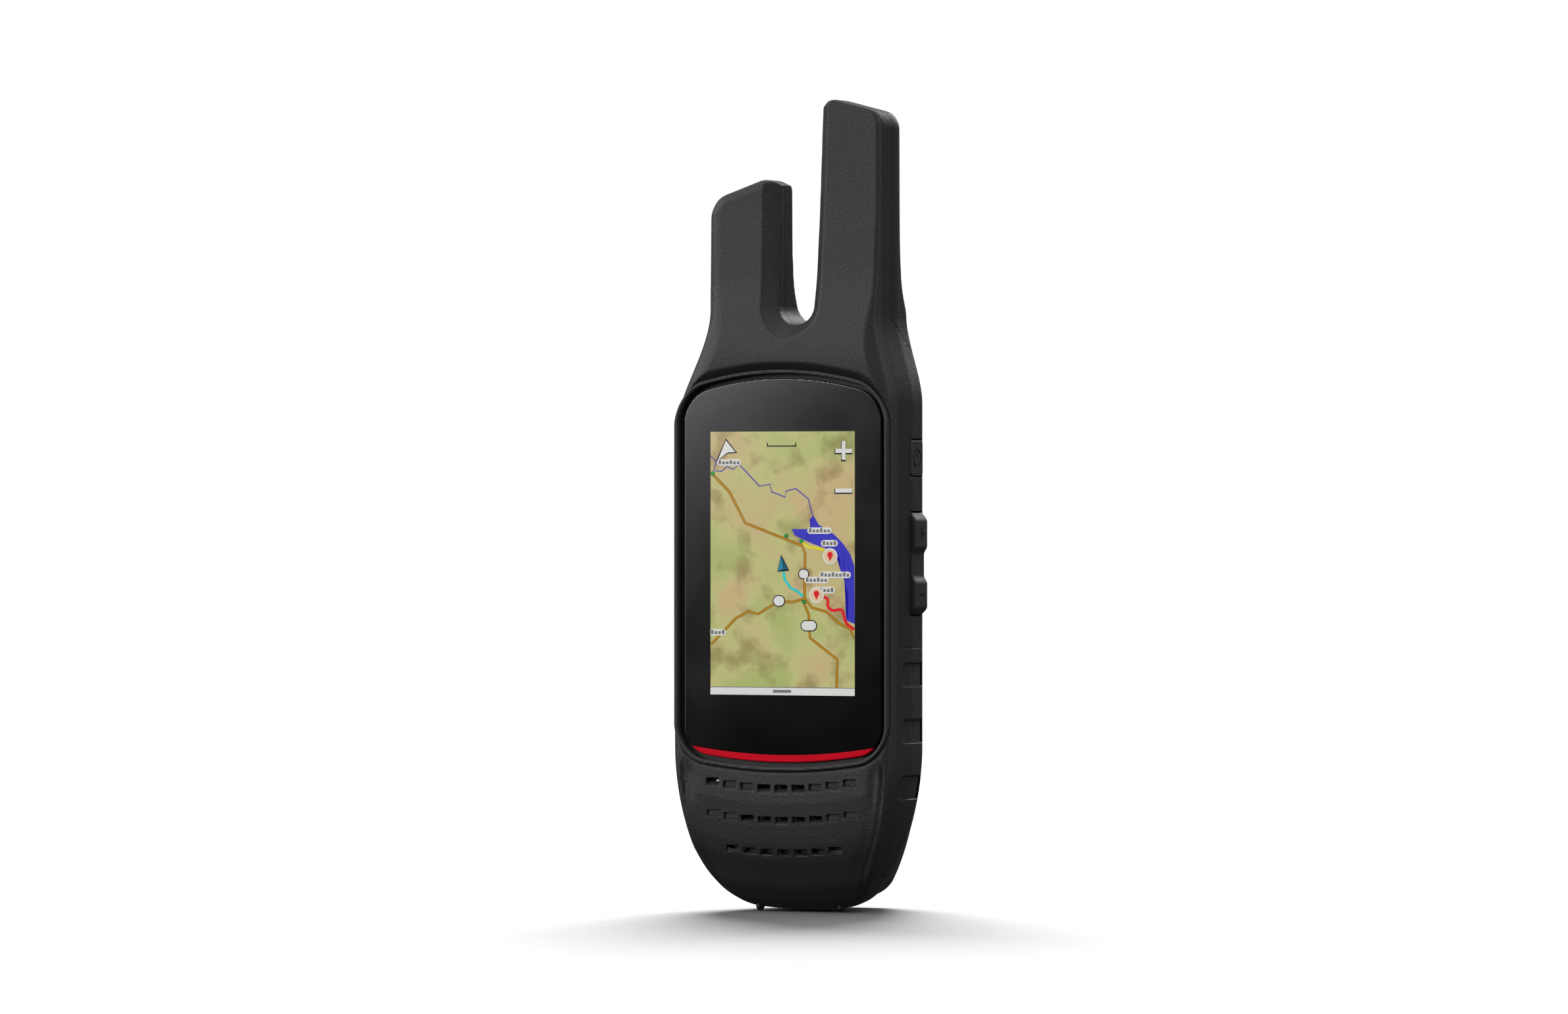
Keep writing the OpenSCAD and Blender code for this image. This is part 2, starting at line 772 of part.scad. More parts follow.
module weather_cap() {
  color("#252628") difference() {
    union() {
      block(-12.2, 12.2, 13.7, port_back_y, bay_z[0] + 0.3, bay_z[1] - 0.3);
      block(-11.5, 11.5, 11.2, 13.7, bay_z[0] + 1, bay_z[1] - 1);
      cyl_x(1.1, -6, 6, cap_pivot_y, cap_pivot_z);
    }
    cyl_x(pivot_r + 0.05, -13, 13, cap_pivot_y, cap_pivot_z);
    for (z = [115.9, 117.1]) block(-7, 7, port_back_y - 0.4, 17, z, z + 0.5);
  }
}

// ---- battery pack ----

// Cross-sections of the pack from front to back: depth, half width, bottom
pack_slices = [[pack_front_y, 26.9, 6], [10, 25, 3.4], [15, 22.8, 2.2], [18.7, 21, 3], [21.2, 17.5, 7.5]];

module pack_solid() {
  intersection() {
    hull() for (s = pack_slices) along_y(s[0], s[0] + 0.02) polygon(case_outline(s[1], s[2], 130));
    block(-30, 30, pack_front_y, back_y, 0, pack_top_z);
  }
}

module lid_outline() {
  intersection() {
    polygon(case_outline(25.2, 9.8, 130));
    translate([-30, 0]) square([60, pack_top_z - 1.6]);
  }
}

module battery_case() {
  color("#242527") difference() {
    pack_solid();
    along_y(pack_front_y - 1, 7) offset(delta = 0.05) lid_outline();
    block(-20, 20, 6.9, 15.4, 30, 109);
    cyl_y(shank_r + 0.1, 5, 20, 0, latch_z);
    cyl_y(recess_r, recess_y, 22, 0, latch_z);
    block(-13, 13, recess_y, 22, 64, 104);
  }
}

module battery_lid() {
  color("#2e2f32") difference() {
    along_y(pack_front_y, 7) lid_outline();
    cyl_y(shank_r + 0.1, 5, 8, 0, latch_z);
    for (x = [-6:4:6]) cyl_y(1.2, 5, 8, x, 104);
  }
}

module battery_cells() {
  color("#3a5f8f") for (z = [31, 65]) along_y(7.2, 15.2) rounded(-18.5, 18.5, z, z + 33, 2.5);
}

module battery_board() {
  color("#1f6f45") along_y(7.2, 8.2) rounded(-14, 14, 99.5, 108, 0.6);
  color("#d9b45a") for (x = [-6:4:6]) cyl_y(1.1, 6.3, 7.2, x, 104);
}

// T-shaped rail for a belt clip, in its recess
module clip_rail() {
  color("#1d1e20") {
    block(-4, 4, recess_y, recess_y + 1.7, 68, 98);
    block(-7, 7, recess_y + 1.7, back_y - 0.2, 68, 98);
  }
}

// ---- latch ----

module latch_screw() {
  color("#9c9fa4") difference() {
    union() {
      cyl_y(shank_r, 1.3, recess_y + 0.1, 0, latch_z);
      cyl_y(7.5, recess_y + 0.1, recess_y + 1.6, 0, latch_z);
      block(-2.9, 2.9, recess_y + 1.5, back_y - 0.1, latch_z - 1.6, latch_z + 1.6);
    }
    cyl_x(pivot_r + 0.04, -5, 5, ring_pin_y, latch_z);
  }
}

module d_ring_pin() {
  color("#b8bbc0") cyl_x(pivot_r, -6.2, 6.2, ring_pin_y, latch_z);
}

// Folding ring: two knuckles on the pin and a flat D of bar
module d_ring() {
  color("#a9acb1") difference() {
    union() {
      for (s = [-1, 1]) cyl_x(0.84, s > 0 ? 3.2 : -6.2, s > 0 ? 6.2 : -3.2, ring_pin_y, latch_z);
      along_y(ring_pin_y - 0.78, ring_pin_y + 0.78) difference() {
        intersection() {
          translate([0, latch_z]) circle(10.9);
          translate([-8.4, latch_z]) square([16.8, 12]);
        }
        intersection() {
          translate([0, latch_z]) circle(8.9);
          translate([-6.4, latch_z + 1.6]) square([12.8, 12]);
        }
        translate([-3.2, latch_z - 1]) square([6.4, 4]);
      }
    }
    cyl_x(pivot_r + 0.04, -8, 8, ring_pin_y, latch_z);
  }
}

front_shell();
rear_shell();
main_gasket();
bezel_ring();
cover_glass();
glass_mask();
touch_sensor();
accent_strip();
display_panel();
backlight_unit();
midframe();
main_pcb();
shield_cans();
ic_chips();
radio_module();
gps_helix_core();
gps_helix_strips();
radio_antenna_rod();
radio_antenna_coil();
antenna_cables();
speaker();
speaker_mesh();
microphone();
microphone_boot();
side_grip_right();
side_grip_left();
key_bracket_right();
key_bracket_left();
key_board_right();
key_board_left();
rocker_pin();
battery_contacts();
port_board();
usb_socket();
headset_jack();
card_cage();
memory_card();
shell_screws();
pcb_screws();
latch_insert();
foot_pegs();
vent_membrane();
lanyard_eye();
cap_pin();
power_button();
volume_rocker();
talk_button();
call_button();
weather_cap();
battery_case();
battery_lid();
battery_cells();
battery_board();
clip_rail();
latch_screw();
d_ring_pin();
d_ring();
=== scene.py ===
# A rugged handheld navigator with a two-way radio, dressed for a studio picture.
# Shapes are worked out in millimetres in the part's own frame, and every mesh is made in metres.
import functools
import json
import math

import bmesh
import bpy
import numpy as np
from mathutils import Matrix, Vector

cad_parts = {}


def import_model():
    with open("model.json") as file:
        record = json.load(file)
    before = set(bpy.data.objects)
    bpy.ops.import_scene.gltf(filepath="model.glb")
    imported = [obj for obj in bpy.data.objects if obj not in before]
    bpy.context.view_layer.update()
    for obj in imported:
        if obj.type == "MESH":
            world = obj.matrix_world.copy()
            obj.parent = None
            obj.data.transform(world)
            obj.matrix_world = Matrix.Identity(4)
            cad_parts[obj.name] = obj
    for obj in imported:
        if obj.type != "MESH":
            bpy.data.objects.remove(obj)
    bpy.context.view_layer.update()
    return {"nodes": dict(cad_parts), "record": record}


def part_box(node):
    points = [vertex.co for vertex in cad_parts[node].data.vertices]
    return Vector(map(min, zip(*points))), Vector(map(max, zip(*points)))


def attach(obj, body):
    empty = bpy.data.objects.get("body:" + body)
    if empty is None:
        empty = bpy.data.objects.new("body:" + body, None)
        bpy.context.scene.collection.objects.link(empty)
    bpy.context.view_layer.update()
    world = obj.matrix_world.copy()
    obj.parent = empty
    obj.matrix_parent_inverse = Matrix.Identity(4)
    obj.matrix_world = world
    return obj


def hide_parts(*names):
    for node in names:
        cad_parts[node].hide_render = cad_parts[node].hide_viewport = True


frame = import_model()
MM = 0.001


def corners(node):
    """Lowest and highest corner of a CAD node, in millimetres."""
    low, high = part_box(node)
    return np.array(low) / MM, np.array(high) / MM


# ---------------------------------------------------------------- places, from the frame
SHELL_LOW, SHELL_HIGH = corners("front_shell")
GLASS_LOW, GLASS_HIGH = corners("cover_glass")
PANEL_LOW, PANEL_HIGH = corners("display_panel")

HALF_W = SHELL_HIGH[0]              # half the width of the case
HOOD_Y = SHELL_LOW[1]               # foremost point, on the hood above the screen
GLASS_Y = GLASS_LOW[1]
SEAT_Y = GLASS_HIGH[1]              # the ledge behind the glass
FRONT_Y = GLASS_Y - 1.0             # flat front of the case
BACK_Y = 5.5                        # back of the case, where the pack sits
TALL_TOP = SHELL_HIGH[2]
GLASS_HW = GLASS_HIGH[0]
GLASS_TOP = GLASS_HIGH[2]
GLASS_FOOT = corners("accent_strip")[0][2]
SCREEN_MID = (PANEL_LOW[2] + PANEL_HIGH[2]) / 2 + 0.75  # the lit part sits a little above the middle
LIT_W, LIT_H = 39.2, 65.3           # size of a 3.0 inch panel's picture

GROOVE = 1.1                        # dark gap round the glass, and width of the ring outside it
ROUND_FOOT_Z = 42.0                 # where the case's rounded lower end starts
FOOT_DROP = 46.4                    # half height of the ellipse that shapes it
FOOT_BOW = 107.0                    # radius of the gently bowed underside
SLOT_X, SLOT_Z, SLOT_R = 2.8, 150.6, 4.8
PORT_BACK = corners("rear_shell")[1][1]     # back of the bulge that holds the ports
PORT_LOW = 112.4                    # and its lower edge
PACK_FRONT = corners("battery_case")[0][1]


# ---------------------------------------------------------------- distance fields
def round_max(a, b, r):
    """What two solids share, its edge rounded to radius r."""
    u, v = a + r, b + r
    return np.minimum(np.maximum(u, v), 0) + np.hypot(np.maximum(u, 0), np.maximum(v, 0)) - r


def union(solids):
    """Any number of solids joined."""
    return functools.reduce(np.minimum, solids)


def carve(solid, tool, r=0.0):
    """A solid less a tool, the rim rounded to radius r."""
    return round_max(solid, -tool, r) if r else np.maximum(solid, -tool)


def bend(t, stations, soft=0.5):
    """A profile through its stations, straight between them, with corners rounded over about soft."""
    at = [s[0] for s in stations]
    to = [s[1] for s in stations]
    steps = (-1.0, -0.5, 0.0, 0.5, 1.0)
    return sum(np.interp(t + s * soft, at, to) for s in steps) / len(steps)


def ease(t):
    u = np.clip(t, 0, 1)
    return u * u * (3 - 2 * u)


def pill(u, v, half_u, half_v, r):
    """Distance to a rectangle with rounded corners."""
    return round_max(np.abs(u) - half_u, np.abs(v) - half_v, r)


# How far the side walls stand in from the full width, from front to back
SIDE = [(-21.0, -7.0), (-19.5, -4.1), (-18.8, -2.8), (-16.4, -1.4), (-10.6, -0.06), (-5.0, 0.0),
        (0.0, -2.0), (5.5, -4.5), (15.5, -9.0), (20.0, -11.0)]
# Height of the case's bottom, from front to back
FOOT = [(-20.5, 34.0), (-19.5, 28.0), (-18.8, 20.0), (-17.5, 14.0), (-14.0, 6.0), (-10.6, 2.3),
        (-7.5, 0.7), (-5.0, 0.4), (0.0, 0.9), (5.5, 3.2)]
# Distance from the middle of the valley that runs down beside the front face, from bottom to top
VALLEY = [(4.0, 17.8), (6.8, 19.0), (10.9, 20.7), (16.0, 23.2), (20.5, 25.0), (27.0, 26.5),
          (33.8, 27.1), (40.0, 27.1)]
# Front of the case, the hood and the antennas, from bottom to top
FRONT = [(0.0, FRONT_Y), (118.0, FRONT_Y), (131.0, HOOD_Y + 0.35), (138.0, HOOD_Y), (146.0, HOOD_Y + 0.9),
         (156.0, HOOD_Y + 2.2), (175.0, HOOD_Y + 2.9), (205.0, HOOD_Y + 3.0)]
# Sloping back of the neck, up to the thin antennas
SLOPE = [(100.0, 34.0), (124.6, 15.5), (128.0, 13.0), (137.0, 6.0), (146.0, -2.0), (154.0, -6.5),
         (165.0, -7.6), (205.0, -8.0)]


def rounded_end(x, z, half):
    """Distance to straight sides that end below in half an ellipse."""
    drop = np.maximum(ROUND_FOOT_Z - z, 0) / FOOT_DROP
    return (np.hypot(np.abs(x) / half, drop) - 1) * half


def underside(x, z, foot):
    """Distance below the bowed underside, whose middle is at height foot."""
    return (foot + x * x / (2 * FOOT_BOW) - z) * 0.8


def neck_right(z):
    return HALF_W - 4.2 + 4.2 * ease((148 - z) / 22)


def neck_left(z):
    return HALF_W - 9.8 + 9.8 * ease((150 - z) / 32)


def slot_wall(z):
    """The tall antenna's side of the slot leans outwards as it rises."""
    return bend(z, [(150.6, 7.6), (158.0, 8.0), (200.0, 9.4)], 1.0)


def slot(x, z):
    """Distance to the slot between the antennas."""
    above = np.maximum(SLOT_X - SLOT_R - x, x - slot_wall(z))
    below = np.hypot(x - SLOT_X, z - SLOT_Z) - SLOT_R
    return np.where(z > SLOT_Z, above, below)


def tips(x, z):
    """Distance above the sloping tops of the two antennas."""
    short = round_max((z - 182.6 - 0.348 * (x + 5.5)) * 0.94, (z - 182.6 + 0.457 * (x + 5.5)) * 0.91, 1.5)
    peak = TALL_TOP + 0.5           # the rounding takes this off again
    tall = round_max((z - peak - 0.58 * (x - 12.9)) * 0.86, (z - peak + 0.264 * (x - 12.9)) * 0.97, 1.2)
    return np.where(x < SLOT_X, short, tall)


def case_form(x, y, z):
    """The whole outer form of the case, neck and antennas."""
    inset = bend(y, SIDE, 0.35)
    low = round_max(rounded_end(x, z, HALF_W + inset), underside(x, z, bend(y, FOOT, 0.6)), 1.6)
    right = x - neck_right(z) - inset
    left = -x - neck_left(z) - inset
    front = bend(z, FRONT, 3.0)
    top = tips(x, z)
    sides = round_max(round_max(right, top, 3.8), low, 0.01)
    sides = round_max(sides, round_max(left, top, 4.6), 0.01)
    soft = np.interp(z, [125.0, 152.0], [0.7, 2.6]) * (x < 0) + 0.7 * (x >= 0)
    form = round_max(sides, front - y, soft)
    form = round_max(form, top, 0.9)
    back = np.minimum(y - BACK_Y, round_max(y - PORT_BACK, PORT_LOW - z, 0.8))
    form = round_max(form, back, 0.8)
    form = round_max(form, (y - bend(z, SLOPE, 3.5)) * 0.8, 1.4)
    # the slot, with a broad chamfer towards the front
    flare = 1.3 - 0.42 * ease((x + 1) / 7)
    opening = slot(x, z)
    bevel = (opening - flare * (2.8 + front - y)) * 0.62
    form = round_max(form, -opening, 0.5)
    form = round_max(form, -bevel, 0.22)
    # a narrow valley beside the lower front face, softer towards the middle
    off = np.abs(x) - bend(z, VALLEY, 1.5)
    depth = 0.75 * np.exp(-(off / 0.6) ** 2) + 0.5 * np.exp(-((off + 1.7) / 1.5) ** 2)
    return form + depth * ease((z - 3) / 9) * ease((39 - z) / 5) * ease((-9 - y) / 3)


def glass_edge(x, z):
    """Distance to the glass's outline, seen from the front."""
    crown, bowl = 80.0, 130.0
    top = np.hypot(x, z - (GLASS_TOP - crown)) - crown
    foot = np.hypot(x, z - (GLASS_FOOT + bowl)) - bowl
    return round_max(round_max(np.abs(x) - GLASS_HW, top, 6.0), foot, 6.0)


# Grille: height of each row's middle, pockets to each side of the middle one, the ones that are open,
# and how far the face has curved back there
GRILLE = [(30.8, 4, (-4, -1, 0, 1), 0.0), (22.9, 4, (-2, -1, 0, 1, 2), 0.35),
          (14.8, 3, (-2, -1, 0, 1, 2), 1.75)]
PITCH = 4.65
POCKET_W, POCKET_H = 1.75, 1.02     # half sizes


def grille(x, y, z):
    """Pockets in curved rows, each with a sloping sill; the open ones run on through the wall."""
    nearest = np.rint(x / PITCH)
    rows = []
    for height, reach, open_ones, back in GRILLE:
        index = np.clip(nearest, -reach, reach)
        u = x - index * PITCH
        v = z - height - 1.6 * (index * PITCH / 18.6) ** 2
        deep = np.isin(index, open_ones)
        sill = np.clip(v + POCKET_H, 0, np.where(deep, 1.1, 0.75))
        floor = FRONT_Y + back + np.where(deep & (v > 0.1), 3.0, sill)
        rows.append(np.maximum(pill(u, v, POCKET_W, POCKET_H, 0.45), (y - floor) * 0.8))
    return union(rows)


# Front edge of the side grips, from bottom to top
GRIP_EDGE = [(9.0, -8.6), (12.0, -10.6), (22.0, -14.0), (36.0, -16.4), (70.0, -16.4)]
GRIP_TOP = 66.0
GRIP_T = 1.2                        # thickness of a grip
FINGER_ZS = (31.4, 45.3, 59.3)      # heights of the finger pockets


def grip_region(y, z):
    """Where the soft side grips lie, seen from the side."""
    front = (bend(z, GRIP_EDGE, 2.0) - y) * 0.9
    region = round_max(front, 9.0 + 0.12 * (y + 8) - z, 1.6)
    return np.maximum(np.maximum(region, y + 1.0), z - GRIP_TOP)


def split(y, z):
    """Distance behind the parting surface of the two shells."""
    return y - np.interp(z, [134.0, 146.6], [0.0, -12.6])


# The side keys: front and back edge; then each one's side, middle height and length
KEY_Y = (-11.5, -4.0)
KEY_MID = sum(KEY_Y) / 2
KEY_HALF = (KEY_Y[1] - KEY_Y[0]) / 2
KEYS = {"power": (1, 112.75, 8.9), "volume": (1, 86.7, 25.4),
        "talk": (-1, 96.0, 24.0), "call": (-1, 71.5, 11.0)}


def key_holes(x, y, z):
    """The openings in both sides that the keys stand in."""
    gap = 0.25
    holes = []
    for side, middle, height in KEYS.values():
        hole = pill(y - KEY_MID, z - middle, KEY_HALF + gap, height / 2 + gap, 1.2)
        holes.append(np.maximum(hole, 27.0 - side * x))
    return union(holes)


WALL = 1.8                          # thickness of the case's wall
WINDOW_Z, WINDOW_HW, WINDOW_HH = 86.0, 23.3, 38.5      # opening behind the glass
BAY_Z, BAY_HW, BAY_HH, BAY_FLOOR = 119.0, 12.5, 4.6, 9.5   # the bay with the ports
CAP_Y, CAP_Z = 14.3, 124.2          # the weather cap's hinge
LATCH_Z = 20.0                      # the latch screw's axis
SCREWS = [(19.0, 128.9), (25.2, 42.0), (15.5, 12.0)]    # on both sides


def posts(x, z, r):
    """Distance to the round posts of the case screws."""
    return union(np.hypot(np.abs(x) - at_x, z - at_z) - r for at_x, at_z in SCREWS)


def grip_pockets(form, y, z):
    """Three long finger pockets in each side, open towards the back."""
    pockets = union(pill(y + 6.2, z - middle, 9.0, 2.9, 2.3) for middle in FINGER_ZS)
    return np.maximum(pockets, -form - 0.75)


def side_grip(side):
    def field(x, y, z):
        form = case_form(x, y, z)
        solid = round_max(form, grip_region(y, z) + 0.05, 0.3)
        solid = np.maximum(solid, -form - GRIP_T + 0.03)
        solid = carve(solid, grip_pockets(form, y, z), 0.3)
        return np.maximum(solid, 8.0 - side * x)
    return field


def front_case(x, y, z):
    form = case_form(x, y, z)
    edge = glass_edge(x, z)
    # a chamfer leads down to the ring, and the glass lies in a well
    slope = (edge - 2 * GROOVE - 1.3 * np.maximum(GLASS_Y - 0.6 - y, 0)) * 0.62
    solid = round_max(form, -np.maximum(slope, y - GLASS_Y - 0.1), 0.3)
    solid = carve(solid, np.maximum(edge - GROOVE, y - SEAT_Y - 0.02))
    solid = carve(solid, grille(x, y, z), 0.22)
    solid = carve(solid, key_holes(x, y, z), 0.25)
    solid = carve(solid, np.maximum(grip_region(y, z), -form - GRIP_T))
    solid = round_max(solid, split(y, z) + 0.03, 0.22)
    # hollow inside, with a ledge behind the glass and posts for the screws
    room = np.maximum(form + WALL, -np.maximum(edge - 3.2, y - SEAT_Y - 1.4))
    room = np.maximum(room, -posts(x, z, 2.6))
    window = pill(x, z - WINDOW_Z, WINDOW_HW, WINDOW_HH, 2.0)
    return carve(solid, np.minimum(room, np.maximum(window, SEAT_Y - 1 - y)))


def hole_y(x, z, at_x, at_z, r):
    """Distance to a round hole or rod that runs from front to back."""
    return np.hypot(x - at_x, z - at_z) - r


def rear_case(x, y, z):
    form = case_form(x, y, z)
    solid = round_max(form, 0.03 - split(y, z), 0.22)
    room = np.maximum(form + WALL, -posts(x, z, 3.4))
    room = np.maximum(room, -np.maximum(pill(x, z - BAY_Z, BAY_HW + WALL, 8.0, 0.1), BAY_FLOOR - 1.2 - y))
    room = np.maximum(room, -hole_y(x, z, 0, LATCH_Z, 5.5))
    room = np.maximum(room, -np.maximum(pill(x - 15, z - 70, 7.5, 9.5, 0.1), 2.6 - y))
    solid = carve(solid, room)
    solid = carve(solid, np.maximum(pill(x, z - BAY_Z, BAY_HW, BAY_HH, 0.9), BAY_FLOOR - y), 0.25)
    solid = carve(solid, np.maximum(np.hypot(y - CAP_Y, z - CAP_Z) - 1.8, np.abs(x) - BAY_HW))
    solid = carve(solid, np.maximum(pill(x + 5, z - BAY_Z, 4.1, 1.7, 0.4), 5 - y))
    solid = carve(solid, np.maximum(hole_y(x, z, 6.5, BAY_Z, 2.5), 5 - y))
    solid = carve(solid, np.maximum(posts(x, z, 2.3), 3.6 - y), 0.25)
    solid = carve(solid, np.maximum(hole_y(x, z, 0, LATCH_Z, 4.05), 0.4 - y))
    solid = carve(solid, np.maximum(pill(x - 15, z - 70, 6.0, 8.0, 0.3), 4.1 - y))
    for contact in (-6, -2, 2, 6):
        solid = carve(solid, np.maximum(hole_y(x, z, contact, 104, 0.85), 1 - y))
    solid = carve(solid, np.maximum(hole_y(x, z, 14, 96, 1.0), 1 - y))
    eye = np.maximum(np.hypot(y - 3.4, z - 143.4) - 3.5, np.abs(x + 14) - 2.05)
    return carve(solid, eye)


def ring_field(x, y, z):
    """The soft ring outside the dark groove."""
    return round_max(np.abs(glass_edge(x, z) - 1.5 * GROOVE) - 0.5 * GROOVE + 0.04,
                     np.abs(y - GLASS_Y + 0.7) - 0.8, 0.42)


STRIP_Z, STRIP_R = 39.3, 150.0      # the arc that divides the glass from the red strip


def pane(below):
    """The glass, or the red strip below it."""
    def field(x, y, z):
        arc = np.hypot(x, z - STRIP_Z - STRIP_R) - STRIP_R
        solid = round_max(glass_edge(x, z), GLASS_Y - y, 0.3)
        return np.maximum(np.maximum(solid, y - SEAT_Y), 0.02 - arc if below else arc + 0.02)
    return field


def key_body(x, y, z, key, face, soft):
    side, middle, height = KEYS[key]
    outline = pill(y - KEY_MID, z - middle, KEY_HALF, height / 2, 1.1)
    solid = round_max(outline, side * x - face, soft)
    return np.maximum(solid, 28.7 - side * x)


def power_key(x, y, z):
    u, v = y - KEY_MID, z - KEYS["power"][1]
    face = HALF_W - 0.1
    circle = np.maximum(np.abs(np.hypot(u, v) - 2.15) - 0.22, 0.85 - np.hypot(u, v - 2.4))
    mark = np.minimum(circle, pill(u, v - 1.5, 0.2, 1.25, 0.1))
    return carve(key_body(x, y, z, "power", face, 0.35), np.maximum(mark, face - 0.25 - x))


KEY_PROUD = 1.17                    # how far the volume and talk keys stand out of the case
ROCKER = [(-12.7, -0.2), (-11.0, KEY_PROUD), (-4.6, KEY_PROUD), (-3.2, 0.3),
          (2.6, 0.3), (4.0, KEY_PROUD), (10.8, KEY_PROUD), (12.7, -0.2)]


def volume_key(x, y, z):
    u, v = y - KEY_MID, z - KEYS["volume"][1]
    face = HALF_W + bend(v, ROCKER, 0.4)
    plus = np.minimum(pill(u, v - 7.3, 1.55, 0.3, 0.1), pill(u, v - 7.3, 0.3, 1.55, 0.1))
    mark = np.minimum(plus, pill(u, v + 7.8, 1.55, 0.3, 0.1))
    solid = key_body(x, y, z, "volume", face, 0.5)
    foot = HALF_W - 0.6
    solid = carve(solid, np.maximum(mark, face - 0.3 - x))
    lug = np.maximum(pill(u, v, 3.3, 1.4, 0.2), np.maximum(27.1 - x, x - foot))
    return carve(np.minimum(solid, lug), np.hypot(x - 28.0, v) - 0.65)


def talk_key(x, y, z):
    v = z - KEYS["talk"][1]
    face = HALF_W + KEY_PROUD
    ribs = np.maximum(np.abs(v - 2.6 * np.clip(np.rint(v / 2.6), -3, 3)) - 0.4, face - 0.35 + x)
    return carve(key_body(x, y, z, "talk", face, 0.5), ribs, 0.12)


def call_key(x, y, z):
    u, v = y - KEY_MID, z - KEYS["call"][1]
    face = HALF_W + 0.5
    mark = np.maximum(pill(u, v, 1.55, 1.6, 0.5), face - 0.3 + x)
    return carve(key_body(x, y, z, "call", face, 0.45), mark, 0.12)


def weather_cap(x, y, z):
    plate = round_max(pill(x, z - BAY_Z, 12.2, 4.3, 1.0), np.abs(y - 14.6) - 0.9, 0.35)
    plug = round_max(pill(x, z - BAY_Z, 11.5, 3.6, 0.8), np.abs(y - 12.6) - 1.4, 0.3)
    barrel = np.maximum(np.hypot(y - CAP_Y, z - CAP_Z) - 1.1, np.abs(x) - 6)
    solid = np.minimum(np.minimum(plate, plug), barrel)
    solid = carve(solid, np.maximum(np.hypot(y - CAP_Y, z - CAP_Z) - 0.65, np.abs(x) - 14))
    for height in (116.15, 117.35):
        solid = carve(solid, np.maximum(pill(x, z - height, 7, 0.25, 0.1), 15.1 - y))
    return solid


# The pack's half width and its lowest height, from front to back
PACK_SIDE = [(5.6, 26.9), (10.0, 25.0), (15.0, 22.8), (18.7, 21.0), (21.2, 17.5)]
PACK_FOOT = [(5.6, 6.0), (10.0, 3.4), (15.0, 2.2), (18.7, 3.0), (21.2, 7.5)]
PACK_TOP, PACK_BACK, RECESS_Y = 112.0, 20.45, 17.0
RAIL_Z = 84.0                       # middle of the recess that the clip rail stands in
LID_HW, LID_FOOT = 25.25, 9.75


def pack(x, y, z):
    foot = underside(x, z, bend(y, PACK_FOOT, 0.9))
    sides = round_max(rounded_end(x, z, bend(y, PACK_SIDE, 0.7)), foot, 2.5)
    solid = round_max(round_max(sides, z - PACK_TOP, 1.2), y - PACK_BACK, 1.4)
    solid = round_max(solid, PACK_FRONT - y, 0.3)
    solid = carve(solid, np.maximum(hole_y(x, z, 0, LATCH_Z, 12.0), RECESS_Y - y), 0.4)
    solid = carve(solid, np.maximum(pill(x, z - RAIL_Z, 13.0, 20.0, 1.5), RECESS_Y - y), 0.4)
    solid = carve(solid, hole_y(x, z, 0, LATCH_Z, 2.6))
    # the lid's rebate and the room for the cells
    lid = np.maximum(rounded_end(x, z, LID_HW), z - PACK_TOP + 1.55)
    lid = np.maximum(lid, LID_FOOT + x * x / (2 * FOOT_BOW) - z)
    solid = carve(solid, np.maximum(lid, y - 7.0))
    return carve(solid, np.maximum(pill(x, z - 69.5, 20, 39.5, 0.1), np.abs(y - 11.2) - 4.2))


def rail(x, y, z):
    web = np.maximum(pill(x, z - 83, 4, 15, 0.6), np.abs(y - 17.9) - 0.9)
    flange = round_max(pill(x, z - 83, 7, 15, 1.0), np.abs(y - 19.5) - 0.8, 0.4)
    return np.minimum(web, flange)


RING_Y = 19.55                      # the folding ring's hinge


def latch(x, y, z):
    v = z - LATCH_Z
    radius = np.hypot(x, v)
    turn = np.arctan2(v, x)
    knurl = 7.5 - 0.16 * (1 + np.cos(40 * turn))
    head = round_max(radius - knurl, np.abs(y - 17.85) - 0.75, 0.3)
    bar = round_max(pill(x, v, 2.9, 1.6, 0.6), np.abs(y - 18.9) - 1.5, 0.4)
    shank = np.maximum(radius - 2.5, np.abs(y - 9.3) - 8.0)
    solid = np.minimum(np.minimum(head, bar), shank)
    return carve(solid, np.hypot(y - RING_Y, v) - 0.64)


def folding_ring(x, y, z):
    v = z - LATCH_Z
    outline = round_max(round_max(np.hypot(x, v) - 10.9, np.abs(x) - 8.4, 2.5), -v, 1.0)
    bar = round_max(np.abs(outline + 1.0) - 1.0, np.abs(y - RING_Y) - 0.78, 0.7)
    bar = np.maximum(bar, -pill(x, v, 3.2, 2.4, 0.2))
    knuckles = round_max(np.hypot(y - RING_Y, v) - 0.86, np.abs(np.abs(x) - 4.7) - 1.5, 0.2)
    return carve(np.minimum(bar, knuckles), np.hypot(y - RING_Y, v) - 0.64)


# ---------------------------------------------------------------- from fields to meshes
def spaced(*runs):
    """Grid lines along one axis: (start, end, step) runs that join up, coarse where nothing small lies."""
    lines = [np.linspace(a, b, max(2, round((b - a) / step) + 1))[:-1] for a, b, step in runs]
    return np.concatenate(lines + [[runs[-1][1]]])


def slope_of(field, at):
    """Unit normals of a field at points."""
    h = 0.015
    parts = []
    for axis in range(3):
        ahead = [c.copy() for c in at]
        behind = [c.copy() for c in at]
        ahead[axis] += h
        behind[axis] -= h
        parts.append(field(*ahead) - field(*behind))
    normal = np.stack(parts, 1)
    return normal / np.maximum(np.linalg.norm(normal, axis=1, keepdims=True), 1e-9)


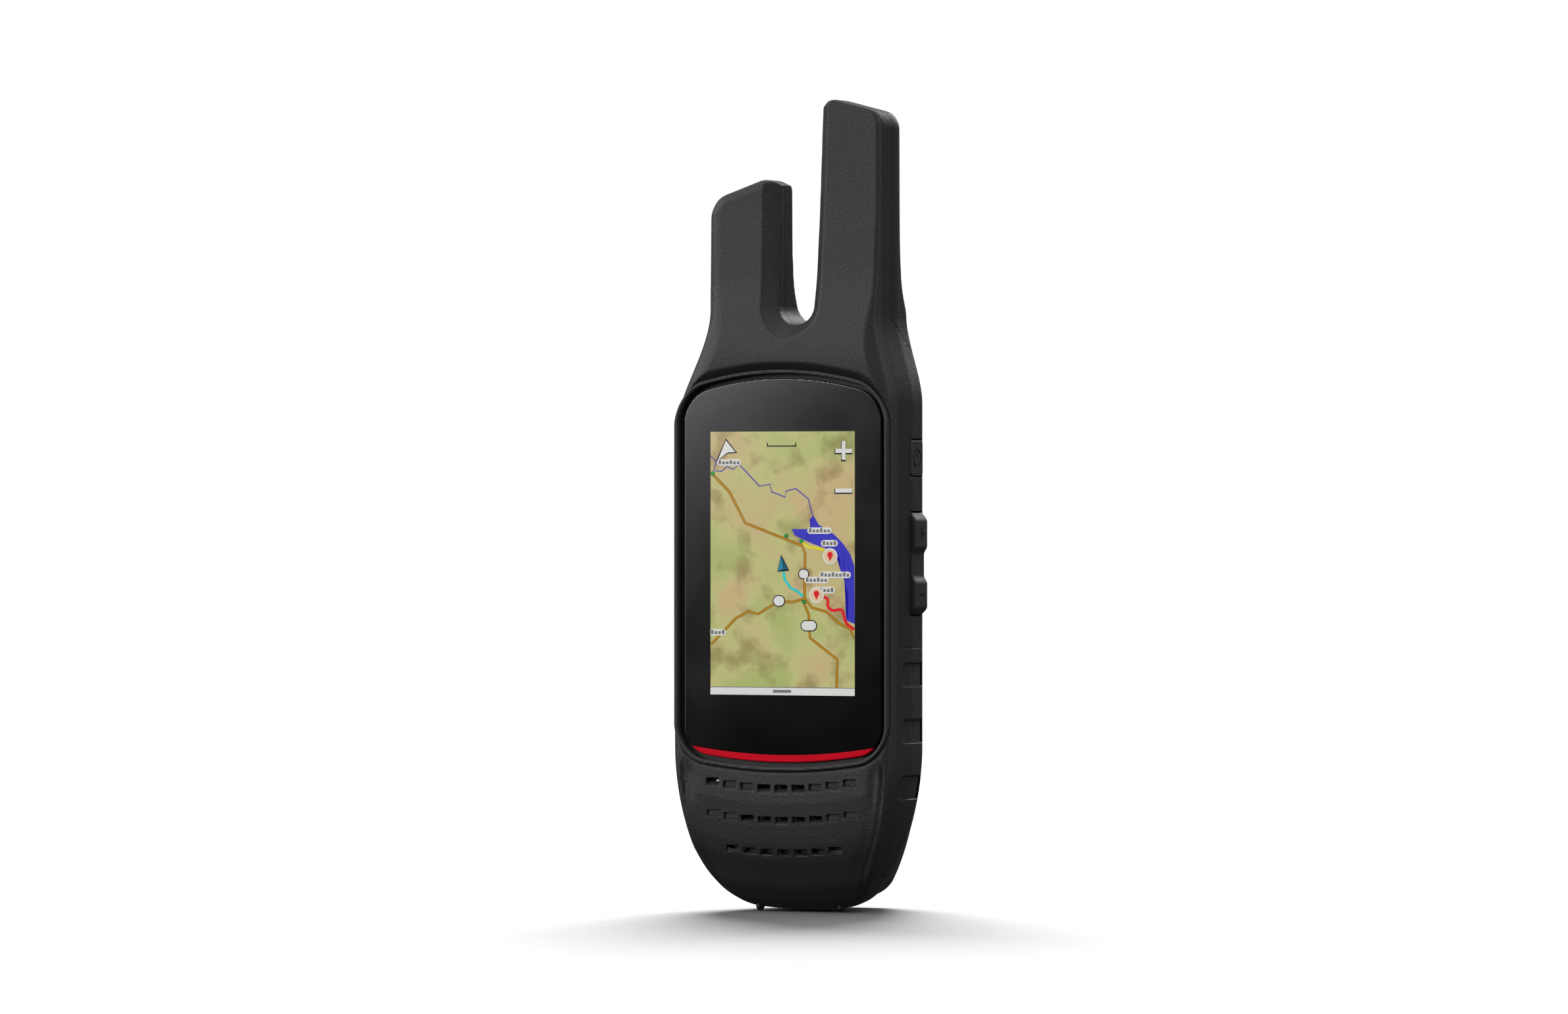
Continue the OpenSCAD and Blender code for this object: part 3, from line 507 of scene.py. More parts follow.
def crossings(field, lines, value, axis):
    """Where the surface crosses the grid's edges along one axis: the edges, the points, the way they face."""
    low = [slice(None)] * 3
    high = [slice(None)] * 3
    low[axis], high[axis] = slice(None, -1), slice(1, None)
    a, b = value[tuple(low)], value[tuple(high)]
    edge = np.argwhere((a < 0) != (b < 0))
    va, vb = a[tuple(edge.T)], b[tuple(edge.T)]
    at = [lines[c][edge[:, c]].astype(float) for c in range(3)]
    start, stop = at[axis].copy(), lines[axis][edge[:, axis] + 1].astype(float)
    share = va / (va - vb)
    for _ in range(2):
        at[axis] = start + (stop - start) * share
        vm = field(*at)
        before = (va < 0) == (vm < 0)
        start = np.where(before, at[axis], start)
        va = np.where(before, vm, va)
        stop = np.where(before, stop, at[axis])
        vb = np.where(before, vb, vm)
        share = va / np.where(va == vb, 1, va - vb)
    at[axis] = start + (stop - start) * share
    return edge, at, a[tuple(edge.T)] < 0


def contour(field, lines):
    """Dual contouring: a corner in each grid cell that the surface crosses, placed to keep edges sharp."""
    x, y, z = lines
    value = field(x[:, None, None], y[None, :, None], z[None, None, :])
    shape = (len(x), len(y), len(z))
    value = np.broadcast_to(value, shape)
    stride = (shape[1] * shape[2], shape[2], 1)
    cells, points, normals, faces, outward = [], [], [], [], []
    for axis in range(3):
        one, two = (axis + 1) % 3, (axis + 2) % 3
        edge, at, leaving = crossings(field, lines, value, axis)
        place = np.stack(at, 1)
        normal = slope_of(field, at)
        around = []
        for back_one, back_two in ((1, 1), (0, 1), (0, 0), (1, 0)):
            cell = edge.copy()
            cell[:, one] -= back_one
            cell[:, two] -= back_two
            around.append(cell @ np.array(stride))
            points.append(place)
            normals.append(normal)
        cells += around
        faces.append(np.stack(around, 1))
        outward.append(leaving)
    cells, points, normals = np.concatenate(cells), np.concatenate(points), np.concatenate(normals)
    faces, outward = np.concatenate(faces), np.concatenate(outward)
    ids, which = np.unique(cells, return_inverse=True)
    count = np.bincount(which).astype(float)

    def total(values):
        return np.bincount(which, values)

    mean = np.stack([total(points[:, i]) / count for i in range(3)], 1)
    offset = np.einsum("ij,ij->i", normals, points)
    matrix = np.empty((len(ids), 3, 3))
    right = np.empty((len(ids), 3))
    for i in range(3):
        right[:, i] = total(normals[:, i] * offset)
        for j in range(3):
            matrix[:, i, j] = total(normals[:, i] * normals[:, j])
    right -= np.einsum("nij,nj->ni", matrix, mean)
    matrix += np.eye(3) * (0.05 * count)[:, None, None]
    corner = mean + np.linalg.solve(matrix, right[:, :, None])[:, :, 0]
    index = np.stack(np.unravel_index(ids, shape), 1)
    for c in range(3):
        floor, roof = lines[c][index[:, c]], lines[c][index[:, c] + 1]
        corner[:, c] = np.clip(corner[:, c], floor, roof)
    faces = np.searchsorted(ids, faces)
    faces[~outward] = faces[~outward][:, ::-1]
    return corner, faces


SHARP = math.radians(32)


def finish_mesh(name, mesh, material, body, slot_name, replaces=()):
    """Gives a mesh its object, finish and body."""
    mesh.polygons.foreach_set("use_smooth", np.ones(len(mesh.polygons), bool))
    mesh.set_sharp_from_angle(angle=SHARP)
    mesh.materials.append(material)
    piece = bpy.data.objects.new(name, mesh)
    bpy.context.scene.collection.objects.link(piece)
    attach(piece, body)
    if replaces:
        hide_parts(*replaces)
    return piece


def mesh_of(name, points, quads):
    """A mesh in metres from corners in millimetres and four-cornered faces."""
    mesh = bpy.data.meshes.new(name)
    mesh.vertices.add(len(points))
    mesh.vertices.foreach_set("co", (np.asarray(points) * MM).ravel())
    mesh.loops.add(quads.size)
    mesh.loops.foreach_set("vertex_index", quads.ravel().astype(np.int32))
    mesh.polygons.add(len(quads))
    mesh.polygons.foreach_set("loop_start", np.arange(0, quads.size, 4, dtype=np.int32))
    mesh.update(calc_edges=True)
    mesh.validate()
    return mesh


def sculpt(name, field, lines, *finish, **more):
    """A piece made from a distance field."""
    return finish_mesh(name, mesh_of(name, *contour(field, lines)), *finish, **more)


# ---------------------------------------------------------------- materials
def links(material):
    tree = material.node_tree
    return tree.nodes, tree.links, tree.nodes["Principled BSDF"]


def moulded(name, colour, rough, grain=0.35, bump=0.25, specular=0.5, metal=0.0, coat=0.0, mottle=0.12):
    """Moulded or cast stuff: a fine grain in the surface, a slow drift in colour and gloss."""
    material = bpy.data.materials.new(name)
    material.use_nodes = True
    nodes, wire, shader = links(material)
    shader.inputs["Metallic"].default_value = metal
    shader.inputs["Specular IOR Level"].default_value = specular
    shader.inputs["Coat Weight"].default_value = coat
    shader.inputs["Coat Roughness"].default_value = 0.08
    where = nodes.new("ShaderNodeTexCoord")
    fine = nodes.new("ShaderNodeTexNoise")
    fine.inputs["Scale"].default_value = 1 / (grain * MM)
    fine.inputs["Detail"].default_value = 3.0
    fine.inputs["Roughness"].default_value = 0.6
    slow = nodes.new("ShaderNodeTexNoise")
    slow.inputs["Scale"].default_value = 55.0
    slow.inputs["Detail"].default_value = 2.0
    for texture in (fine, slow):
        wire.new(where.outputs["Object"], texture.inputs["Vector"])
    tint = nodes.new("ShaderNodeValToRGB")
    ramp = tint.color_ramp.elements
    ramp[0].position, ramp[1].position = 0.3, 0.7
    ramp[0].color = [c * (1 - mottle) for c in colour] + [1]
    ramp[1].color = [min(1, c * (1 + mottle)) for c in colour] + [1]
    both = nodes.new("ShaderNodeMath")
    both.operation = "MULTIPLY_ADD"
    both.inputs[1].default_value = 0.5
    wire.new(slow.outputs["Fac"], both.inputs[0])
    half = nodes.new("ShaderNodeMath")
    half.operation = "MULTIPLY"
    half.inputs[1].default_value = 0.5
    wire.new(fine.outputs["Fac"], half.inputs[0])
    wire.new(half.outputs[0], both.inputs[2])
    wire.new(both.outputs[0], tint.inputs["Fac"])
    wire.new(tint.outputs["Color"], shader.inputs["Base Color"])
    gloss = nodes.new("ShaderNodeMapRange")
    gloss.inputs["To Min"].default_value = rough - 0.06
    gloss.inputs["To Max"].default_value = rough + 0.06
    wire.new(fine.outputs["Fac"], gloss.inputs["Value"])
    wire.new(gloss.outputs["Result"], shader.inputs["Roughness"])
    relief = nodes.new("ShaderNodeBump")
    relief.inputs["Strength"].default_value = bump
    relief.inputs["Distance"].default_value = 0.12 * MM
    wire.new(fine.outputs["Fac"], relief.inputs["Height"])
    wire.new(relief.outputs["Normal"], shader.inputs["Normal"])
    return material


CASE = moulded("case_plastic", (0.024, 0.024, 0.025), 0.5, grain=0.6, bump=0.9, specular=0.45)
GRIP = moulded("grip_rubber", (0.027, 0.027, 0.028), 0.55, grain=0.6, bump=0.9, specular=0.4)
RING = moulded("ring_rubber", (0.036, 0.036, 0.037), 0.5, grain=0.5, bump=0.15, specular=0.4)
KEY = moulded("key_rubber", (0.028, 0.028, 0.029), 0.55, grain=0.45, bump=0.2, specular=0.4)
PACK = moulded("battery_plastic", (0.02, 0.02, 0.021), 0.5, grain=0.45, bump=0.4, specular=0.45)
GLASS = moulded("cover_glass", (0.0012, 0.0012, 0.0014), 0.115, grain=30, bump=0.0, specular=0.5, mottle=0.3)
RED = moulded("accent_red", (0.82, 0.0, 0.018), 0.4, grain=0.8, bump=0.05, specular=0.08, mottle=0.04)
STEEL = moulded("steel", (0.42, 0.43, 0.45), 0.34, grain=0.25, bump=0.1, metal=1.0)


# Finishes of the inner pieces that keep their CAD shapes, by the record's material slots
INNER = {
    "seal_rubber": dict(colour=(0.5, 0.13, 0.03), rough=0.55),
    "mask_ink": dict(colour=(0.002, 0.002, 0.002), rough=0.4),
    "touch_film": dict(colour=(0.03, 0.035, 0.04), rough=0.2),
    "diffuser": dict(colour=(0.75, 0.75, 0.72), rough=0.5),
    "frame_metal": dict(colour=(0.4, 0.41, 0.43), rough=0.4, metal=1.0),
    "board": dict(colour=(0.012, 0.12, 0.045), rough=0.35, coat=0.5),
    "can_steel": dict(colour=(0.6, 0.61, 0.62), rough=0.3, metal=1.0),
    "chip": dict(colour=(0.012, 0.012, 0.013), rough=0.5),
    "former": dict(colour=(0.62, 0.58, 0.48), rough=0.5),
    "copper": dict(colour=(0.7, 0.3, 0.14), rough=0.3, metal=1.0),
    "cable": dict(colour=(0.12, 0.06, 0.03), rough=0.45),
    "speaker_frame": dict(colour=(0.012, 0.012, 0.013), rough=0.6),
    "insert_brass": dict(colour=(0.62, 0.42, 0.16), rough=0.32, metal=1.0),
    "peg_plastic": dict(colour=(0.006, 0.006, 0.007), rough=0.4),
    "membrane": dict(colour=(0.75, 0.75, 0.72), rough=0.7),
    "eye_plastic": dict(colour=(0.035, 0.035, 0.037), rough=0.5),
    "cell_wrap": dict(colour=(0.03, 0.09, 0.28), rough=0.35, coat=0.4),
}


def dress_cad():
    """Gives every CAD node that stays in view the finish of its slot."""
    finishes = {slot_name: moulded(slot_name, **facts) for slot_name, facts in INNER.items()}
    finishes.update(case_plastic=CASE, grip_rubber=GRIP, key_rubber=KEY, battery_plastic=PACK, steel=STEEL,
                    cover_glass=GLASS, accent_red=RED, screen=LAND)
    for part in frame["record"]["subparts"]:
        node = frame["nodes"][part["node"]]
        # painted shade: the microphone's boot lies behind the grille and gets the case's black, so that the
        # open pockets read dark as shade
        finish = CASE if part["node"] == "microphone_boot" else finishes[part["material_slot"]]
        node.data.materials.clear()
        node.data.materials.append(finish)


# ---------------------------------------------------------------- the map on the screen
BACKLIGHT = 0.2


def ink(name, colour):
    """Picture on the screen, under the gloss of the glass."""
    material = moulded(name, colour, 0.12, grain=1.2, bump=0.0, specular=0.35, mottle=0.05)
    shader = links(material)[2]
    shader.inputs["Emission Color"].default_value = (*colour, 1)
    shader.inputs["Emission Strength"].default_value = BACKLIGHT
    return material


def land():
    """Softly shaded country: green low ground that fades into tan, with a few brown hollows."""
    material = bpy.data.materials.new("map_land")
    material.use_nodes = True
    nodes, wire, shader = links(material)
    shader.inputs["Specular IOR Level"].default_value = 0.35
    shader.inputs["Roughness"].default_value = 0.12
    where = nodes.new("ShaderNodeTexCoord")

    def blotches(scale, detail, at):
        texture = nodes.new("ShaderNodeTexNoise")
        texture.inputs["Scale"].default_value = scale
        texture.inputs["Detail"].default_value = detail
        shift = nodes.new("ShaderNodeVectorMath")
        shift.operation = "ADD"
        shift.inputs[1].default_value = at
        wire.new(where.outputs["Object"], shift.inputs[0])
        wire.new(shift.outputs[0], texture.inputs["Vector"])
        return texture.outputs["Fac"]

    def ramp(source, *stops):
        node = nodes.new("ShaderNodeValToRGB")
        ends = node.color_ramp.elements
        ends[0].position, ends[0].color = stops[0][0], (*stops[0][1], 1)
        ends[1].position, ends[1].color = stops[-1][0], (*stops[-1][1], 1)
        for at, colour in stops[1:-1]:
            node.color_ramp.elements.new(at).color = (*colour, 1)
        wire.new(source, node.inputs["Fac"])
        return node.outputs["Color"]

    ground = ramp(blotches(62.0, 1.5, (0.3, 0, 0.1)), (0.36, (0.50, 0.56, 0.20)), (0.47, (0.62, 0.62, 0.26)),
                  (0.60, (0.68, 0.54, 0.27)))
    hollows = ramp(blotches(150.0, 3.0, (0.7, 0, 0.2)), (0.30, (0.66, 0.60, 0.56)), (0.5, (1.0, 1.0, 1.0)))
    shade = nodes.new("ShaderNodeMix")
    shade.data_type = "RGBA"
    shade.blend_type = "MULTIPLY"
    shade.inputs["Factor"].default_value = 1.0
    wire.new(ground, shade.inputs["A"])
    wire.new(hollows, shade.inputs["B"])
    wire.new(shade.outputs["Result"], shader.inputs["Base Color"])
    wire.new(shade.outputs["Result"], shader.inputs["Emission Color"])
    shader.inputs["Emission Strength"].default_value = BACKLIGHT
    return material


LAND = land()
WATER = ink("map_water", (0.055, 0.050, 0.60))
RIVER = ink("map_river", (0.12, 0.11, 0.42))
ROAD = ink("map_road", (0.56, 0.27, 0.02))
ROAD_EDGE = ink("map_road_edge", (0.26, 0.13, 0.012))
TRAIL = ink("map_trail", (0.86, 0.80, 0.02))
TRACK = ink("map_track", (0.85, 0.02, 0.03))
BREADCRUMB = ink("map_breadcrumb", (0.02, 0.70, 0.72))
JUNCTION = ink("map_junction", (0.03, 0.42, 0.08))
DARK = ink("map_dark", (0.012, 0.012, 0.010))
GREY = ink("map_grey", (0.22, 0.22, 0.21))
PALE = ink("map_pale", (0.86, 0.86, 0.84))
CREAM = ink("map_cream", (0.86, 0.66, 0.42))
TEAL = ink("map_teal", (0.03, 0.30, 0.44))
DEEP_TEAL = ink("map_deep_teal", (0.012, 0.12, 0.19))
LAYER = 0.012                       # thickness of one layer of the picture


def through(points, steps=6):
    """A smooth line through a few places."""
    pts = [np.array(p, float) for p in points]
    pts = [2 * pts[0] - pts[1]] + pts + [2 * pts[-1] - pts[-2]]
    line = []
    for a, b, c, d in zip(pts, pts[1:], pts[2:], pts[3:]):
        for t in np.arange(steps) / steps:
            line.append(0.5 * (2 * b + (c - a) * t + (2 * a - 5 * b + 4 * c - d) * t ** 2
                               + (3 * b - a - 3 * c + d) * t ** 3))
    return np.array(line + [pts[-2]])


def disc(u, v, r, steps=24):
    turn = np.arange(steps) * 2 * math.pi / steps
    return np.stack([u + r * np.cos(turn), v + r * np.sin(turn)], 1)


def bar(u0, u1, v0, v1):
    return np.array([(u0, v0), (u1, v0), (u1, v1), (u0, v1)], float)


def clip_to_screen(outline):
    edge = np.array([LIT_W, LIT_H]) / 2
    return np.clip(outline, -edge, edge)


def strip_faces(work, line, width, front, back):
    """A line drawn with a pen of that width, as a closed flat strip."""
    along = np.gradient(line, axis=0)
    along /= np.maximum(np.linalg.norm(along, axis=1, keepdims=True), 1e-6)
    across = np.stack([-along[:, 1], along[:, 0]], 1) * width / 2
    sides = [clip_to_screen(line + across), clip_to_screen(line - across)]
    rows = []
    for left, right in zip(*sides):
        rows.append([work.verts.new((u * MM, depth * MM, (v + SCREEN_MID) * MM))
                     for (u, v), depth in ((left, front), (right, front), (right, back), (left, back))])
    for one, two in zip(rows, rows[1:]):
        for i in range(4):
            j = (i + 1) % 4
            work.faces.new((one[i], one[j], two[j], two[i]))
    work.faces.new(rows[0][::-1])
    work.faces.new(rows[-1])


def draw(name, outlines, level, material, width=0.0):
    """Flat shapes of one colour as a thin layer on the glass; level counts the layers below it."""
    work = bmesh.new()
    back = GLASS_Y - LAYER * level + 0.002
    front = GLASS_Y - LAYER * (level + 1)
    for outline in outlines:
        if width:
            strip_faces(work, outline, width, front, back)
            continue
        outline = clip_to_screen(outline)
        u, v = outline[:, 0], outline[:, 1]
        if (u * np.roll(v, -1) - v * np.roll(u, -1)).sum() < 0:
            outline = outline[::-1]
        rims = [[work.verts.new((a * MM, depth * MM, (b + SCREEN_MID) * MM)) for a, b in outline]
                for depth in (front, back)]
        work.faces.new(rims[0])
        work.faces.new(rims[1][::-1])
        for i in range(len(outline)):
            j = (i + 1) % len(outline)
            work.faces.new((rims[0][j], rims[0][i], rims[1][i], rims[1][j]))
    bmesh.ops.triangulate(work, faces=work.faces)
    mesh = bpy.data.meshes.new(name)
    work.to_mesh(mesh)
    work.free()
    replaced = ("display_panel",) if level == 0 else ()
    return finish_mesh(name, mesh, material, "housing", "screen", replaces=replaced)


def slab(u, v, half_u, half_v):
    """A bar with round ends."""
    turn = np.linspace(-math.pi / 2, math.pi / 2, 9)
    cap = half_u - half_v
    right = np.stack([u + cap + half_v * np.cos(turn), v + half_v * np.sin(turn)], 1)
    return np.concatenate([right, 2 * np.array([u, v]) - right])


def map_picture():
    wide, tall = LIT_W / 2, LIT_H / 2
    draw("map_land", [bar(-wide, wide, -tall, tall)], 0, LAND)
    shore = [(2.5, 8.5), (7.7, 8.5), (7.4, 10.9), (8.4, 11.9), (9.9, 9.6), (14, 7.2), (16.4, 5),
             (18.5, 2.2), (19.5, -0.6), (19.6, -14.9), (17.3, -14), (17.8, -12.8), (17.5, -9.6),
             (17.8, -7.5), (17.1, -5), (15.7, -1.6), (15.6, 1.3), (14.4, 2.8), (11.7, 3.8), (8.6, 4.7),
             (6.4, 5.6), (3.4, 6.9)]
    draw("map_water", [np.array(shore)], 1, WATER)
    river = [(-19.6, 26.7), (-18.1, 25.2), (-18.7, 23), (-16.6, 22.8), (-15.1, 24), (-13.4, 23.3),
             (-11.7, 24.5), (-6.2, 19.1), (-3.4, 19.6), (-2.9, 17.7), (0.8, 16.4), (1, 17.9),
             (3.7, 18.5), (7.1, 15.9), (8.2, 11.9)]
    draw("map_river", [np.array(river)], 1, RIVER, 0.35)
    west = [(-19.1, 22.2), (-14.5, 17.8), (-10.1, 10), (5.3, 4.4), (6.2, 2.5), (6, -8.4), (7.9, -10.9),
            (11.9, -11.9), (15.4, -14.8), (18.5, -16.2), (19.6, -18.4)]
    south = [(-19.5, -20.2), (-12.7, -13.7), (-9.2, -11.9), (-6.6, -12.6), (-0.9, -9.3), (2.7, -9.6),
             (6, -8.7)]
    down = [(5.8, -9.6), (7.2, -12.8), (7.5, -18.4), (14.9, -23.7), (14.7, -30.8)]
    roads = [np.array(line) for line in (west, south, down)]
    draw("map_road_edge", roads, 2, ROAD_EDGE, 0.7)
    draw("map_road", roads, 3, ROAD, 0.45)
    draw("map_trail", [through([(5.3, 5.3), (7.2, 4), (8.6, 3.9), (11.3, 3.3)])], 3, TRAIL, 0.6)
    track = through([(11.3, -8.2), (12.3, -8.9), (12.4, -10.6), (13.7, -11.6), (16.1, -11.5), (17.3, -14.6),
                     (19.6, -16.3)])
    draw("map_track", [track], 4, TRACK, 0.75)
    breadcrumb = through([(0.4, -2), (0.7, -3.9), (2.4, -6.1), (4, -6.8), (5.6, -8.2)])
    draw("map_breadcrumb", [breadcrumb], 4, BREADCRUMB, 0.6)
    junctions = [(-19.0, 22.3), (1.1, 6.8), (5.2, 5.5), (5.9, -9.5)]
    draw("map_junction_edge", [disc(u, v, 0.55, 16) for u, v in junctions], 5, DARK)
    draw("map_junction", [disc(u, v, 0.43, 16) for u, v in junctions], 6, JUNCTION)
    # round place markers, each with a plain pin in place of a picture
    markers = [(13.0, 1.8), (9.3, -7.8)]
    draw("map_marker_edge", [disc(u, v, 2.0) for u, v in markers], 9, PALE)
    draw("map_marker", [disc(u, v, 1.7) for u, v in markers], 10, CREAM)
    draw("map_marker_pin", [disc(u, v + 0.35, 0.75) for u, v in markers], 11, TRACK)
    points = [np.array([(u - 0.6, v), (u + 0.6, v), (u, v - 1.2)]) for u, v in markers]
    draw("map_marker_point", points, 12, TRACK)
    # road signs without their numbers
    signs = [(5.8, -2.6, 1.5, 1.3), (-0.9, -9.3, 1.7, 1.45), (7.2, -15.4, 2.25, 1.4)]
    draw("map_sign_edge", [slab(u, v, a, b) for u, v, a, b in signs], 5, DARK)
    draw("map_sign", [slab(u, v, a - 0.25, b - 0.25) for u, v, a, b in signs], 6, PALE)
    # names stand as short runs of plain marks on a pale ground
    names = [(-14.5, 25, 6), (10.1, 8.1, 6), (12.8, 5, 4), (14.3, -2.8, 8), (9.3, -4.1, 6),
             (12.0, -6.6, 4), (-17.6, -17.2, 4)]
    draw("map_names_ground", [slab(u, v, 0.5 * n + 0.3, 0.8) for u, v, n in names], 7, PALE)
    marks = [bar(u + i - 0.5 * n + 0.15, u + i - 0.5 * n + 0.85, v - 0.45, v + (0.3 if i % 3 else 0.6))
             for u, v, n in names for i in range(n)]
    draw("map_names", marks, 8, GREY)
    arrow = np.array([(-15.4, 30.5), (-12.8, 27.6), (-14.9, 27.5), (-17.6, 25.6)])
    draw("map_north_edge", [arrow + np.array([(0, 0.5), (0.55, -0.25), (0.1, -0.3), (-0.6, -0.4)])], 2, DARK)
    draw("map_north", [arrow], 3, PALE)
    scale_bars = [bar(-4.2, 3.8, 28.9, 29.2), bar(-4.2, -3.9, 28.9, 29.9), bar(3.5, 3.8, 28.9, 29.9)]
    draw("map_scale", scale_bars, 2, DARK)
    level_bars = [(16.6, 27.8), (16.6, 18.0)]
    draw("map_zoom_shadow", [bar(u - 2.45, u + 2.35, v - 0.85, v + 0.45) for u, v in level_bars], 1, DARK)
    draw("map_zoom_shadow_up", [bar(15.9, 17.15, 25.2, 30.2)], 2, DARK)
    draw("map_zoom", [bar(u - 2.2, u + 2.3, v - 0.5, v + 0.5) for u, v in level_bars], 3, PALE)
    draw("map_zoom_up", [bar(16.1, 17.1, 25.6, 30.2)], 4, PALE)
    draw("map_here_edge", [np.array([(-0.3, 2.2), (1.9, -1.8), (-1.3, -2.1)])], 7, DARK)
    draw("map_here_left", [np.array([(-0.3, 1.8), (0.2, -1.5), (-1.1, -1.9)])], 8, TEAL)
    draw("map_here_right", [np.array([(-0.3, 1.8), (1.6, -1.6), (0.2, -1.5)])], 8, DEEP_TEAL)
    draw("map_foot_line", [bar(-wide, wide, 1.8 - tall, 2.0 - tall)], 5, GREY)
    draw("map_foot", [bar(-wide, wide, -tall, 1.8 - tall)], 5, PALE)
    draw("map_handle", [bar(-2.5, 2.4, 0.6 - tall, 1.3 - tall)], 6, GREY)


# ---------------------------------------------------------------- the case
FINE_X = spaced((-34, -22, 0.5), (-22, 22, 0.3), (22, 34, 0.4))
FRONT_YS = spaced((-22.5, -17, 0.3), (-17, 2.5, 0.5))
FRONT_ZS = spaced((-1.5, 12, 0.5), (12, 35, 0.28), (35, 126, 0.6), (126, 150, 0.4), (150, 204, 0.55))


def housing_pieces():
    sculpt("case_front", front_case, (FINE_X, FRONT_YS, FRONT_ZS), CASE, "housing", "case_plastic",
           replaces=("front_shell",))
    sculpt("case_rear", rear_case, (spaced((-34, 34, 0.5)), spaced((-14, 17, 0.45)),
                                    spaced((-1, 150, 0.5), (150, 204, 0.7))),
           CASE, "housing", "case_plastic", replaces=("rear_shell",))
    grip_ys, grip_zs = spaced((-18.5, 0.5, 0.3)), spaced((6, 67, 0.3))
    sculpt("grip_right", side_grip(1), (spaced((8, 26, 0.6), (26, 33, 0.3)), grip_ys, grip_zs),
           GRIP, "housing", "grip_rubber", replaces=("side_grip_right",))
    sculpt("grip_left", side_grip(-1), (spaced((-33, -26, 0.3), (-26, -8, 0.6)), grip_ys, grip_zs),
           GRIP, "housing", "grip_rubber", replaces=("side_grip_left",))
    sculpt("screen_ring", ring_field,
           (spaced((-30, 30, 0.3)), spaced((-20.4, -18, 0.2)), spaced((34, 136, 0.3))),
           RING, "housing", "grip_rubber", replaces=("bezel_ring",))
    flat = (spaced((-28, 28, 0.25)), spaced((-18.7, -18.1, 0.1), (-18.1, -17.2, 0.3)),
            spaced((36, 40, 0.4), (40, 118, 0.6), (118, 134, 0.2)))
    sculpt("glass", pane(False), flat, GLASS, "housing", "cover_glass", replaces=("cover_glass",))
    low = (spaced((-28, 28, 0.3)), flat[1], spaced((36, 42, 0.2)))
    sculpt("red_strip", pane(True), low, RED, "housing", "accent_red", replaces=("accent_strip",))


def key_pieces():
    ys = spaced((-12.4, -3.2, 0.2))
    right, left = spaced((26.8, 34, 0.2)), spaced((-34, -28, 0.2))
    fine = spaced((-12.4, -3.2, 0.1))
    made = [
        ("key_power", power_key, (spaced((28.2, 32.6, 0.12)), fine, spaced((107, 118.4, 0.1))),
         "power_button", "power_key"),
        ("key_volume", volume_key, (right, ys, spaced((73, 100.4, 0.2))), "volume_rocker", "volume_key"),
        ("key_talk", talk_key, (left, ys, spaced((83, 109, 0.2))), "talk_button", "talk_key"),
        ("key_call", call_key, (left, ys, spaced((65, 78, 0.2))), "call_button", "call_key"),
    ]
    for name, field, lines, node, body in made:
        sculpt(name, field, lines, KEY, body, "key_rubber", replaces=(node,))


def back_pieces():
    sculpt("cap", weather_cap, (spaced((-13, 13, 0.3)), spaced((10.6, 16.2, 0.2)), spaced((113.8, 126, 0.2))),
           KEY, "port_cap", "key_rubber", replaces=("weather_cap",))
    sculpt("pack", pack,
           (spaced((-28, 28, 0.5)), spaced((5, 21.5, 0.4)), spaced((0.5, 36, 0.4), (36, 113.5, 0.6))),
           PACK, "battery_pack", "battery_plastic", replaces=("battery_case",))
    sculpt("rail", rail, (spaced((-8, 8, 0.3)), spaced((16.5, 21, 0.2)), spaced((67, 99, 0.4))),
           PACK, "battery_pack", "battery_plastic", replaces=("clip_rail",))
    sculpt("latch", latch,
           (spaced((-8.2, 8.2, 0.2)), spaced((0.8, 17, 0.6), (17, 21, 0.2)), spaced((12, 28, 0.2))),
           STEEL, "latch", "steel", replaces=("latch_screw",))
    sculpt("ring", folding_ring,
           (spaced((-9.2, 9.2, 0.2)), spaced((18.2, 20.8, 0.15)), spaced((18.4, 31.6, 0.2))),
           STEEL, "folding_ring", "steel", replaces=("d_ring",))


housing_pieces()
key_pieces()
back_pieces()
map_picture()
dress_cad()


# ---------------------------------------------------------------- studio
def look_at(thing, target):
    thing.rotation_euler = (Vector(target) - thing.location).to_track_quat("-Z", "Y").to_euler()


AZIMUTH = math.radians(24.4)        # how far the camera stands round to the right
DISTANCE = 1.87
AIM = (0.0, -0.0175, 0.1007)
VIEW_WIDTH = 0.3884                 # width of what the camera sees, at the aim
SENSOR = 36.0


def camera():
    data = bpy.data.cameras.new("camera")
    data.sensor_width = SENSOR
    data.lens = SENSOR * DISTANCE / VIEW_WIDTH
    eye = bpy.data.objects.new("camera", data)
    bpy.context.scene.collection.objects.link(eye)
    eye.location = (AIM[0] + DISTANCE * math.sin(AZIMUTH), AIM[1] - DISTANCE * math.cos(AZIMUTH), AIM[2])
    look_at(eye, AIM)
    bpy.context.scene.camera = eye


